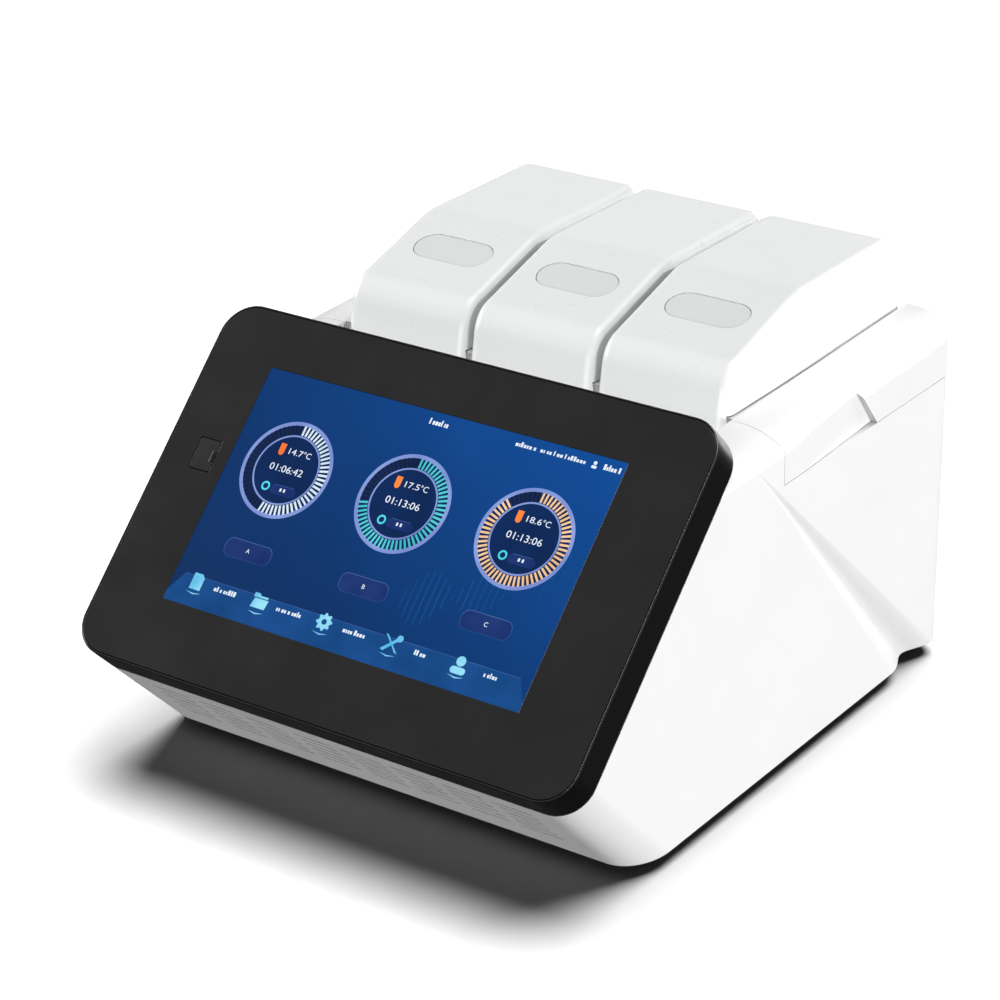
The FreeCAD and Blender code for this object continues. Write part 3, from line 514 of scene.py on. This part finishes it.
def mergedCopy(node, flatAngle=0.3):
    mesh = nodes[node].data.copy()
    while mesh.attributes.get("custom_normal"):
        mesh.attributes.remove(mesh.attributes["custom_normal"])
    work = bmesh.new()
    work.from_mesh(mesh)
    bmesh.ops.remove_doubles(work, verts=work.verts, dist=0.000002)
    bmesh.ops.dissolve_limit(work, angle_limit=math.radians(flatAngle), verts=work.verts, edges=work.edges)
    work.to_mesh(mesh)
    work.free()
    return mesh


def smoothByAngle(mesh, angle):
    work = bmesh.new()
    work.from_mesh(mesh)
    for face in work.faces:
        face.smooth = True
    for edge in work.edges:
        edge.smooth = len(edge.link_faces) == 2 and edge.calc_face_angle(0) < math.radians(angle)
    work.to_mesh(mesh)
    work.free()


def roundedMesh(mesh, name, width, segments=2, angle=40, rim=None):
    # Rounds the sharp edges by a bevel and evens the shading.
    smoothByAngle(mesh, angle)
    holder = bpy.data.objects.new(name, mesh)
    scene.collection.objects.link(holder)
    mesh.materials.clear()
    if rim:
        mesh.materials.append(None)
        mesh.materials.append(None)
    if width:
        bevel = holder.modifiers.new("edges", "BEVEL")
        bevel.width = width
        bevel.segments = segments
        bevel.limit_method = "ANGLE"
        bevel.angle_limit = math.radians(angle)
        bevel.use_clamp_overlap = False
        bevel.harden_normals = False
        bevel.material = 1 if rim else -1
    even = holder.modifiers.new("even", "WEIGHTED_NORMAL")
    even.keep_sharp = True
    made = settled(holder, name)
    dropObject(holder)
    return made


def refine(node, name, finish, body, width, segments=2, angle=40, rim=None):
    mesh = roundedMesh(mergedCopy(node), name, width, segments, angle, rim)
    piece = addObject(name, mesh, finish, body, rim)
    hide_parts(node)
    return piece


dressNodes()
print("nodes dressed")

# Width of the small edge bevel on each refined shell
edgeRounding = {
    "lower_housing": 0.0, "top_cover": 0.0, "display_frame": 0.0007, "usb_door": 0.0003,
    "lid_shell": 0.0, "latch_button": 0.0003,
}

refine("lower_housing", "lowerHousing", "housingWhite", "root",
       edgeRounding["lower_housing"])
refine("top_cover", "topCover", "housingWhite", "root",
       edgeRounding["top_cover"])
refine("display_frame", "displayFrame", "frameBlack", "root",
       edgeRounding["display_frame"], segments=3, rim="frameRim")
refine("usb_door", "usbDoor", "doorBlack", "usb_door", edgeRounding["usb_door"])
for letter in letters:
    refine(f"lid_shell_{letter}", f"lidShell_{letter}", "lidWhite", f"lid_{letter}",
           edgeRounding["lid_shell"])
    refine(f"latch_button_{letter}", f"latchButton_{letter}", "buttonGrey", f"button_{letter}",
           edgeRounding["latch_button"])
print("shells refined")

# Screen and its picture, laid out on the glass: x to the right, s up the glass, d out of it

screen = {
    "middleX": -1.2,
    "low": 37.7,
    "high": 168.8,
    "width": 216.4,
    "panelDepth": -0.2,
    "layer": 0.03,
}

dials = {
    "places": {"a": -73.7, "b": -1.2, "c": 71.0},
    "height": 118.9,
    "outer": 26.5,
    "ringWidth": 2.0,
    "tickOuter": 24.6,
    "tickInner": 19.4,
    "core": 18.2,
    "tickCount": 60,
    "tickWidth": 1.15,
    "tickLayer": 3,
    "lit": {"a": 33, "b": 44, "c": 53},
    "ink": {"a": "inkTickWhite", "b": "inkTickCyan", "c": "inkTickPeach"},
    "degrees": {"a": "14.7", "b": "17.5", "c": "18.6"},
    "clock": {"a": "01:06:42", "b": "01:13:06", "c": "01:13:06"},
}

buttonsRow = {"places": {"a": -73.7, "b": -1.8, "c": 71.0}, "height": 73.2, "size": (28.6, 9.6)}

toolbar = {
    "icons": (-93.8, -54.1, -14.1, 26.7, 66.9),
    "words": ((-75.5, 14.5), (-35.7, 15.0), (4.6, 13.5), (44.4, 7.5), (85.0, 7.5)),
    "height": 50.6,
    "bandLow": 37.7,
    "bandHigh": 53.8,
    "bandInset": 6.5,
}

# Words of the top line: middle x and s, length, height, seed
header = ((-1.3, 163.2, 11.2, 3.2, 21), (50.8, 163.6, 12.6, 2.6, 22), (72.0, 163.6, 26.0, 2.4, 23),
          (100.2, 163.6, 9.6, 3.0, 24))

helix = {
    "bars": 26,
    "left": 18,
    "length": 92,
    "low": 74,
    "rise": 46,
    "bend": 1.6,
    "swing": 15,
    "fade": 4,
    "twist": 9.5,
    "halfBar": 0.35,
}

uiParts = {}


def flatPrism(points, layer, work=None):
    # Thin closed plate through the points (x, s), standing on its layer.
    work = work or bmesh.new()
    low = screen["panelDepth"] + screen["layer"] * (layer - 0.6)
    high = screen["panelDepth"] + screen["layer"] * layer
    bottom = [work.verts.new((x * mm, s * mm, low * mm)) for x, s in points]
    top = [work.verts.new((x * mm, s * mm, high * mm)) for x, s in points]
    work.faces.new(list(reversed(bottom)))
    work.faces.new(top)
    count = len(points)
    for i in range(count):
        j = (i + 1) % count
        work.faces.new((bottom[i], bottom[j], top[j], top[i]))
    return work


def flatRing(centre, outer, inner, layer, work, steps=96):
    low = screen["panelDepth"] + screen["layer"] * (layer - 0.6)
    high = screen["panelDepth"] + screen["layer"] * layer
    loops = []
    for radius, depth in ((inner, low), (outer, low), (outer, high), (inner, high)):
        loop = []
        for i in range(steps):
            angle = 2 * math.pi * i / steps
            loop.append(work.verts.new(((centre[0] + radius * math.cos(angle)) * mm,
                                        (centre[1] + radius * math.sin(angle)) * mm, depth * mm)))
        loops.append(loop)
    for k in range(4):
        first, second = loops[k], loops[(k + 1) % 4]
        for i in range(steps):
            j = (i + 1) % steps
            work.faces.new((first[i], second[i], second[j], first[j]))


def circlePoints(centre, radius, steps=48):
    return [(centre[0] + radius * math.cos(2 * math.pi * i / steps),
             centre[1] + radius * math.sin(2 * math.pi * i / steps)) for i in range(steps)]


def stadiumPoints(centre, size, radius=None, steps=8):
    radius = radius or size[1] / 2
    points = []
    for corner, (sx, sy) in enumerate(((1, 1), (-1, 1), (-1, -1), (1, -1))):
        cx = centre[0] + sx * (size[0] / 2 - radius)
        cy = centre[1] + sy * (size[1] / 2 - radius)
        for i in range(steps + 1):
            angle = math.pi / 2 * (corner + i / steps)
            points.append((cx + radius * math.cos(angle), cy + radius * math.sin(angle)))
    return points


def keepInk(ink, work):
    # Gathers the drawing of one ink, and lays it on the tilted glass.
    mesh = bpy.data.meshes.new(ink)
    bmesh.ops.recalc_face_normals(work, faces=work.faces)
    work.to_mesh(mesh)
    work.free()
    keepMesh(ink, mesh)


def keepMesh(ink, mesh):
    mesh.transform(glassPose)
    uiParts.setdefault(ink, []).append(mesh)


def inkPlates(ink, layer, shapes):
    work = bmesh.new()
    for points in shapes:
        flatPrism(points, layer, work)
    keepInk(ink, work)


def keepText(ink, body, centre, height, layer=4, width=None):
    data = bpy.data.curves.new("text", "FONT")
    data.body = body
    data.align_x = "CENTER"
    data.align_y = "CENTER"
    data.size = height * 1.38 * mm
    data.extrude = screen["layer"] * 0.3 * mm
    data.resolution_u = 3
    holder = bpy.data.objects.new("text", data)
    scene.collection.objects.link(holder)
    mesh = settled(holder, "text")
    bpy.data.objects.remove(holder)
    depth = screen["panelDepth"] + screen["layer"] * layer
    spanX = max(v.co.x for v in mesh.vertices) - min(v.co.x for v in mesh.vertices)
    squeeze = width * mm / spanX if width else 1
    place = Matrix.Translation((centre[0] * mm, centre[1] * mm, depth * mm))
    mesh.transform(place @ Matrix.Diagonal((squeeze, 1, 1, 1)))
    mesh.materials.clear()
    keepMesh(ink, mesh)


def wordDashes(centre, length, height, seed):
    # A word stood for by short upright dashes of uneven width.
    draw = random.Random(seed)
    shapes = []
    x = centre[0] - length / 2
    end = centre[0] + length / 2
    while x < end - 0.5:
        width = min(draw.uniform(0.7, 1.5), end - x)
        tall = height * draw.choice((0.62, 0.62, 1.0))
        low = centre[1] - height * 0.4
        shapes.append([(x, low), (x + width, low), (x + width, low + tall), (x, low + tall)])
        x += width + draw.choice((0.4, 0.4, 0.5, 1.2))
    return shapes


def socketNames(tree, wanted):
    # Adds named inputs to a tree and gives their identifiers.
    found = {}
    for name, kind, value in wanted:
        made = tree.interface.new_socket(name, in_out="INPUT", socket_type=kind)
        if value is not None:
            made.default_value = value
        found[name] = made.identifier
    return found


def startTree(name, wanted):
    tree = bpy.data.node_groups.new(name, "GeometryNodeTree")
    tree.interface.new_socket("Geometry", in_out="INPUT", socket_type="NodeSocketGeometry")
    identifiers = socketNames(tree, wanted)
    tree.interface.new_socket("Geometry", in_out="OUTPUT", socket_type="NodeSocketGeometry")
    return tree, tree.nodes.new("NodeGroupInput"), tree.nodes.new("NodeGroupOutput"), identifiers


def grownMesh(tree, identifiers, name, values, places=()):
    # Runs a tree on these points with these inputs, and gives its result as a plain mesh.
    seedMesh = bpy.data.meshes.new(name + "Seed")
    seedMesh.from_pydata(places, [], [])
    holder = bpy.data.objects.new(name, seedMesh)
    scene.collection.objects.link(holder)
    grower = holder.modifiers.new("grow", "NODES")
    grower.node_group = tree
    for key, value in values.items():
        grower[identifiers[key]] = value
    mesh = settled(holder, name)
    dropObject(holder)
    return mesh


def buildTickTree():
    # Bars on a circle, clockwise from the top, from one index up to another.
    tree, inputs, output, identifiers = startTree("dialTicks", [
        ("Count", "NodeSocketInt", 60), ("First", "NodeSocketInt", 0), ("Last", "NodeSocketInt", 60),
        ("Radius", "NodeSocketFloat", 0.022), ("Length", "NodeSocketFloat", 0.005),
        ("Width", "NodeSocketFloat", 0.001), ("Thickness", "NodeSocketFloat", 0.00002),
        ("Material", "NodeSocketMaterial", None)])
    link = tree.links.new
    line = addNode(tree, "GeometryNodeMeshLine")
    link(inputs.outputs["Count"], line.inputs["Count"])
    line.inputs["Offset"].default_value = (0, 0, 0)
    index = addNode(tree, "GeometryNodeInputIndex")
    share = addNode(tree, "ShaderNodeMath", operation="DIVIDE")
    link(index.outputs[0], share.inputs[0])
    link(inputs.outputs["Count"], share.inputs[1])
    angle = addNode(tree, "ShaderNodeMath", operation="MULTIPLY")
    link(share.outputs[0], angle.inputs[0])
    angle.inputs[1].default_value = -2 * math.pi
    turn = addNode(tree, "ShaderNodeCombineXYZ")
    link(angle.outputs[0], turn.inputs["Z"])
    up = addNode(tree, "ShaderNodeCombineXYZ")
    link(inputs.outputs["Radius"], up.inputs["Y"])
    place = addNode(tree, "ShaderNodeVectorRotate", rotation_type="EULER_XYZ")
    link(up.outputs[0], place.inputs["Vector"])
    link(turn.outputs[0], place.inputs["Rotation"])
    moved = addNode(tree, "GeometryNodeSetPosition")
    link(line.outputs["Mesh"], moved.inputs["Geometry"])
    link(place.outputs[0], moved.inputs["Position"])
    size = addNode(tree, "ShaderNodeCombineXYZ")
    link(inputs.outputs["Width"], size.inputs["X"])
    link(inputs.outputs["Length"], size.inputs["Y"])
    link(inputs.outputs["Thickness"], size.inputs["Z"])
    bar = addNode(tree, "GeometryNodeMeshCube")
    link(size.outputs[0], bar.inputs["Size"])
    notBefore = addNode(tree, "FunctionNodeCompare", data_type="INT", operation="GREATER_EQUAL")
    link(index.outputs[0], notBefore.inputs[2])
    link(inputs.outputs["First"], notBefore.inputs[3])
    before = addNode(tree, "FunctionNodeCompare", data_type="INT", operation="LESS_THAN")
    link(index.outputs[0], before.inputs[2])
    link(inputs.outputs["Last"], before.inputs[3])
    both = addNode(tree, "FunctionNodeBooleanMath", operation="AND")
    link(notBefore.outputs[0], both.inputs[0])
    link(before.outputs[0], both.inputs[1])
    bars = addNode(tree, "GeometryNodeInstanceOnPoints")
    link(moved.outputs["Geometry"], bars.inputs["Points"])
    link(both.outputs[0], bars.inputs["Selection"])
    link(bar.outputs["Mesh"], bars.inputs["Instance"])
    link(turn.outputs[0], bars.inputs["Rotation"])
    real = addNode(tree, "GeometryNodeRealizeInstances")
    link(bars.outputs[0], real.inputs[0])
    paint = addNode(tree, "GeometryNodeSetMaterial")
    link(real.outputs[0], paint.inputs["Geometry"])
    link(inputs.outputs["Material"], paint.inputs["Material"])
    link(paint.outputs[0], output.inputs[0])
    return tree, identifiers


tickTree, tickSockets = buildTickTree()


def drawTicks(letter, ink, first, last):
    thickness = screen["layer"] * 0.6
    mesh = grownMesh(tickTree, tickSockets, "ticks", {
        "Count": dials["tickCount"], "First": first, "Last": last,
        "Radius": (dials["tickOuter"] + dials["tickInner"]) / 2 * mm,
        "Length": (dials["tickOuter"] - dials["tickInner"]) * mm,
        "Width": dials["tickWidth"] * mm, "Thickness": thickness * mm, "Material": finishes[ink]})
    depth = screen["panelDepth"] + screen["layer"] * dials["tickLayer"] - thickness / 2
    mesh.transform(Matrix.Translation((dials["places"][letter] * mm, dials["height"] * mm, depth * mm)))
    mesh.materials.clear()
    keepMesh(ink, mesh)


def drawDial(letter):
    centre = (dials["places"][letter], dials["height"])
    outer, width = dials["outer"], dials["ringWidth"]
    inkPlates("inkDial", 1, [circlePoints(centre, outer - 0.2, 96)])
    work = bmesh.new()
    flatRing(centre, outer, outer - width, 3, work)
    flatRing(centre, dials["core"] + 0.9, dials["core"], 3, work)
    keepInk("inkRing", work)
    lit = dials["lit"][letter]
    drawTicks(letter, dials["ink"][letter], 0, lit)
    drawTicks(letter, "inkTickNavy", lit, dials["tickCount"])
    bulb = (centre[0] - 7.6, centre[1] + 8.2)
    inkPlates("inkOrange", 4, [circlePoints(bulb, 1.5, 20),
                               stadiumPoints((bulb[0], bulb[1] + 2.4), (1.6, 5.0))])
    keepText("inkWhite", dials["degrees"][letter], (centre[0] + 0.6, centre[1] + 9.8), 3.3, width=8.6)
    keepText("inkWhite", "\u00b0C", (centre[0] + 8.2, centre[1] + 9.8), 3.3, width=4.6)
    keepText("inkWhite", dials["clock"][letter], (centre[0], centre[1]), 3.9, width=20.5)
    work = bmesh.new()
    flatRing((centre[0] - 7.4, centre[1] - 10.6), 2.5, 1.5, 4, work, 32)
    keepInk("inkCyan", work)
    pill = (centre[0] + 3.6, centre[1] - 10.9)
    inkPlates("inkPill", 2, [stadiumPoints(pill, (15.5, 5.2))])
    inkPlates("inkPillEdge", 3, [[(pill[0] - 6, pill[1] + 2.35), (pill[0] + 6, pill[1] + 2.35),
                                  (pill[0] + 5.4, pill[1] + 2.6), (pill[0] - 5.4, pill[1] + 2.6)]])
    inkPlates("inkWhite", 4, wordDashes(pill, 4.0, 1.7, 11))


def drawIcon(kind, x, s):
    # Generic pictograms: page, folder, cog, crossed tools, person.
    shapes = []
    if kind == 0:
        shapes.append([(x - 3.6, s - 4), (x + 3.2, s - 4), (x + 3.2, s + 2.8), (x + 1.4, s + 4.6),
                       (x - 3.6, s + 4.6)])
    elif kind == 1:
        shapes.append([(x - 4.6, s - 3.4), (x + 4.2, s - 3.4), (x + 4.8, s + 1.6), (x - 3.6, s + 1.6)])
        shapes.append([(x - 4.6, s + 2.1), (x + 4.0, s + 2.1), (x + 4.0, s + 3.2), (x - 0.6, s + 3.2),
                       (x - 1.4, s + 4.3), (x - 4.6, s + 4.3)])
    elif kind == 2:
        cog = []
        for i in range(32):
            angle = 2 * math.pi * i / 32
            radius = 4.7 if i % 4 < 2 else 3.6
            cog.append((x + radius * math.cos(angle), s + 0.3 + radius * math.sin(angle)))
        shapes.append(cog)
    elif kind == 3:
        for lean in (-1, 1):
            shapes.append([(x - 4.2 * lean - 0.9, s - 3.6), (x - 4.2 * lean + 0.9, s - 4.2),
                           (x + 4.2 * lean + 0.9, s + 4.0), (x + 4.2 * lean - 0.9, s + 4.6)])
        shapes.append(circlePoints((x + 3.6, s + 3.6), 1.8, 16))
    else:
        shapes.append(circlePoints((x, s + 2.2), 2.6, 24))
        shapes.append(stadiumPoints((x, s - 2.6), (8.6, 3.6)))
    for number, points in enumerate(shapes):
        inkPlates("inkIcon", 3 + 0.2 * number, [points])
    if kind == 2:
        inkPlates("inkBand", 4.2, [circlePoints((x, s + 0.3), 1.5, 20)])
    inkPlates("inkIcon", 3, [[(x - 4.8, s - 5.4), (x, s - 6.6), (x + 4.8, s - 5.4), (x, s - 5.9)]])


def drawToolbar():
    left = screen["middleX"] - screen["width"] / 2
    right = screen["middleX"] + screen["width"] / 2
    low, high, inset = toolbar["bandLow"], toolbar["bandHigh"], toolbar["bandInset"]
    inkPlates("inkBand", 1, [[(left + 0.1, low), (right - 0.1, low), (right - 0.1, low + 5),
                              (right - inset, high), (left + inset, high), (left + 0.1, low + 5)]])
    inkPlates("inkPillEdge", 1.4, [[(left + inset, high - 0.25), (right - inset, high - 0.25),
                                    (right - inset, high), (left + inset, high)]])
    for kind, x in enumerate(toolbar["icons"]):
        drawIcon(kind, x, toolbar["height"])
    for number, (x, length) in enumerate(toolbar["words"]):
        inkPlates("inkWhite", 4, wordDashes((x, toolbar["height"] - 0.6), length, 2.6, number))


def drawLabels():
    for letter, x in buttonsRow["places"].items():
        centre = (x, buttonsRow["height"])
        size = buttonsRow["size"]
        inkPlates("inkPillEdge", 1, [stadiumPoints(centre, (size[0] + 0.5, size[1] + 0.5), 4.2)])
        inkPlates("inkPill", 2, [stadiumPoints((centre[0], centre[1] - 0.15), size, 4.0)])
        keepText("inkWhite", letter.upper(), centre, 2.4)
    for x, s, length, height, seed in header:
        inkPlates("inkWhite", 4, wordDashes((x, s), length, height, seed))
    inkPlates("inkWhite", 4, [circlePoints((90.2, 164.6), 1.0, 16), stadiumPoints((90.2, 162.5), (3.0, 1.5))])


def drawHelix():
    # Faint twisted ladder behind the dials.
    work = bmesh.new()
    half = helix["halfBar"]
    for i in range(helix["bars"]):
        share = i / (helix["bars"] - 1)
        x = helix["left"] + share * helix["length"]
        middle = helix["low"] + helix["rise"] * share ** helix["bend"]
        reach = abs((helix["swing"] - helix["fade"] * share) * math.sin(share * helix["twist"]))
        flatPrism([(x - half, middle - reach), (x + half, middle - reach),
                   (x + half, middle + reach + 0.1), (x - half, middle + reach + 0.1)], 0.6, work)
    keepInk("inkHelix", work)


def windowPlate(x0, x1, s0, s1, outerMesh):
    # Cuts the picture's window out of the glass copy.
    cutter = bpy.data.meshes.new("windowCutter")
    work = bmesh.new()
    bmesh.ops.create_cube(work, size=1)
    work.to_mesh(cutter)
    work.free()
    cutter.transform(glassPose @ Matrix.Translation(((x0 + x1) / 2 * mm, (s0 + s1) / 2 * mm, 0))
                     @ Matrix.Diagonal(((x1 - x0) * mm, (s1 - s0) * mm, 0.02, 1)))
    knife = bpy.data.objects.new("windowCutter", cutter)
    holder = bpy.data.objects.new("glassBlank", outerMesh)
    scene.collection.objects.link(knife)
    scene.collection.objects.link(holder)
    cut = holder.modifiers.new("window", "BOOLEAN")
    cut.object = knife
    cut.solver = "EXACT"
    made = settled(holder, "screenGlass")
    dropObject(holder)
    dropObject(knife)
    return made


def buildScreen():
    half = screen["width"] / 2
    x0, x1 = screen["middleX"] - half, screen["middleX"] + half
    s0, s1 = screen["low"], screen["high"]
    glass = windowPlate(x0, x1, s0, s1, mergedCopy("display_glass"))
    glass = roundedMesh(glass, "screenGlass", 0.00025, 2)
    border = addObject("screenGlass", glass, "screenBlack", "root")
    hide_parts("display_glass")
    work = bmesh.new()
    low, high = -1.6 * mm, screen["panelDepth"] * mm
    corners = [(x0 + 0.02, s0 + 0.02), (x1 - 0.02, s0 + 0.02), (x1 - 0.02, s1 - 0.02), (x0 + 0.02, s1 - 0.02)]
    bottom = [work.verts.new((x * mm, s * mm, low)) for x, s in corners]
    top = [work.verts.new((x * mm, s * mm, high)) for x, s in corners]
    work.faces.new(list(reversed(bottom)))
    work.faces.new(top)
    for i in range(4):
        work.faces.new((bottom[i], bottom[(i + 1) % 4], top[(i + 1) % 4], top[i]))
    picture = bpy.data.meshes.new("screenPicture")
    work.to_mesh(picture)
    work.free()
    picture.transform(glassPose)
    addObject("screenPicture", picture, "screenPicture", "root")
    drawHelix()
    drawToolbar()
    for letter in letters:
        drawDial(letter)
    drawLabels()
    for ink, meshes in uiParts.items():
        work = bmesh.new()
        for mesh in meshes:
            work.from_mesh(mesh)
            bpy.data.meshes.remove(mesh)
        joined = bpy.data.meshes.new(ink)
        work.to_mesh(joined)
        work.free()
        addObject("screen" + ink[0].upper() + ink[1:], joined, ink, "root")


buildScreen()
print("screen drawn")

# Screws, one Geometry Nodes tree for all of them

screws = {
    "rear_screws": {"turn": (-90, 0, 0), "shank": 3.0, "recess": 0.5},
    "fan_screws": {"turn": (-90, 0, 0), "shank": 3.0, "recess": 0.5},
    "base_screws": {"turn": (180, 0, 0), "shank": 2.0, "recess": 0.6, "head": 1.2},
}
screwShankRadius = 1.5


def looseBoxes(node):
    # Lowest and highest corners of a node's separate solids.
    work = bmesh.new()
    work.from_mesh(nodes[node].data)
    bmesh.ops.remove_doubles(work, verts=work.verts, dist=0.000002)
    seen = set()
    boxes = []
    for start in work.verts:
        if start in seen:
            continue
        seen.add(start)
        island, waiting = [], [start]
        while waiting:
            point = waiting.pop()
            island.append(point.co.copy())
            for edge in point.link_edges:
                other = edge.other_vert(point)
                if other not in seen:
                    seen.add(other)
                    waiting.append(other)
        low = Vector([min(co[axis] for co in island) for axis in range(3)])
        high = Vector([max(co[axis] for co in island) for axis in range(3)])
        boxes.append((low, high))
    work.free()
    return boxes


def buildScrewTree():
    # Chamfered head with a cross recess and a shank, head up, on every point.
    tree, inputs, output, identifiers = startTree("crossHeadScrews", [
        ("Head Radius", "NodeSocketFloat", 0.003), ("Head Height", "NodeSocketFloat", 0.001),
        ("Shank Radius", "NodeSocketFloat", 0.0015), ("Shank Length", "NodeSocketFloat", 0.002),
        ("Recess Depth", "NodeSocketFloat", 0.0005), ("Turn", "NodeSocketVector", (0, 0, 0)),
        ("Material", "NodeSocketMaterial", None)])
    link = tree.links.new

    def scaledInput(name, factor):
        product = addNode(tree, "ShaderNodeMath", operation="MULTIPLY")
        link(inputs.outputs[name], product.inputs[0])
        product.inputs[1].default_value = factor
        return product.outputs[0]

    def lifted(shape, height):
        up = addNode(tree, "ShaderNodeCombineXYZ")
        link(height, up.inputs["Z"])
        moved = addNode(tree, "GeometryNodeTransform")
        link(shape, moved.inputs["Geometry"])
        link(up.outputs[0], moved.inputs["Translation"])
        return moved.outputs[0]

    def cone(lowRadius, highRadius, depth, foot):
        shape = addNode(tree, "GeometryNodeMeshCone", Vertices=32)
        link(highRadius, shape.inputs["Radius Top"])
        link(lowRadius, shape.inputs["Radius Bottom"])
        link(depth, shape.inputs["Depth"])
        return lifted(shape.outputs["Mesh"], foot) if foot else shape.outputs["Mesh"]

    radius = inputs.outputs["Head Radius"]
    skirt = cone(radius, radius, scaledInput("Head Height", 0.6), None)
    crown = cone(radius, scaledInput("Head Radius", 0.8), scaledInput("Head Height", 0.4),
                 scaledInput("Head Height", 0.6))
    shankRadius = inputs.outputs["Shank Radius"]
    shank = cone(shankRadius, shankRadius, inputs.outputs["Shank Length"], scaledInput("Shank Length", -1.0))
    whole = addNode(tree, "GeometryNodeMeshBoolean", operation="UNION")
    for part in (skirt, crown, shank):
        link(part, whole.inputs["Mesh 2"])
    carved = addNode(tree, "GeometryNodeMeshBoolean", operation="DIFFERENCE")
    link(whole.outputs["Mesh"], carved.inputs["Mesh 1"])
    for across, along in ((0.22, 1.1), (1.1, 0.22)):
        size = addNode(tree, "ShaderNodeCombineXYZ")
        link(scaledInput("Head Radius", across), size.inputs["X"])
        link(scaledInput("Head Radius", along), size.inputs["Y"])
        link(scaledInput("Recess Depth", 2.0), size.inputs["Z"])
        bar = addNode(tree, "GeometryNodeMeshCube")
        link(size.outputs[0], bar.inputs["Size"])
        link(lifted(bar.outputs["Mesh"], inputs.outputs["Head Height"]), carved.inputs["Mesh 2"])
    heads = addNode(tree, "GeometryNodeInstanceOnPoints")
    link(inputs.outputs["Geometry"], heads.inputs["Points"])
    link(carved.outputs["Mesh"], heads.inputs["Instance"])
    link(inputs.outputs["Turn"], heads.inputs["Rotation"])
    real = addNode(tree, "GeometryNodeRealizeInstances")
    link(heads.outputs[0], real.inputs[0])
    paint = addNode(tree, "GeometryNodeSetMaterial")
    link(real.outputs[0], paint.inputs["Geometry"])
    link(inputs.outputs["Material"], paint.inputs["Material"])
    link(paint.outputs[0], output.inputs[0])
    return tree, identifiers


def driveScrews():
    tree, identifiers = buildScrewTree()
    for node, values in screws.items():
        boxes = looseBoxes(node)
        turn = Euler([math.radians(angle) for angle in values["turn"]])
        outward = turn.to_matrix() @ Vector((0, 0, 1))
        axis = max(range(3), key=lambda number: abs(outward[number]))
        outermost = 1 if outward[axis] > 0 else 0
        low, high = boxes[0]
        radius = (high.x - low.x) / 2
        # The head is as high as its solid, unless that holds the shank too and the height is given.
        height = values.get("head", (high[axis] - low[axis]) / mm) * mm
        places = []
        for box in boxes:
            seat = (box[0] + box[1]) / 2
            seat[axis] = box[outermost][axis] - outward[axis] * height
            places.append(seat)
        mesh = grownMesh(tree, identifiers, node, {
            "Head Radius": radius, "Head Height": height, "Shank Radius": screwShankRadius * mm,
            "Shank Length": values["shank"] * mm, "Recess Depth": values["recess"] * mm, "Turn": turn,
            "Material": finishes["screwSteel"]}, places)
        name = node.replace("_screws", "Screws")
        piece = addObject(name, mesh, "screwSteel", "root")
        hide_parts(node)


driveScrews()
print("screws driven")

addCamera(cameraView)
addStudio(studio)
print("camera and studio set")
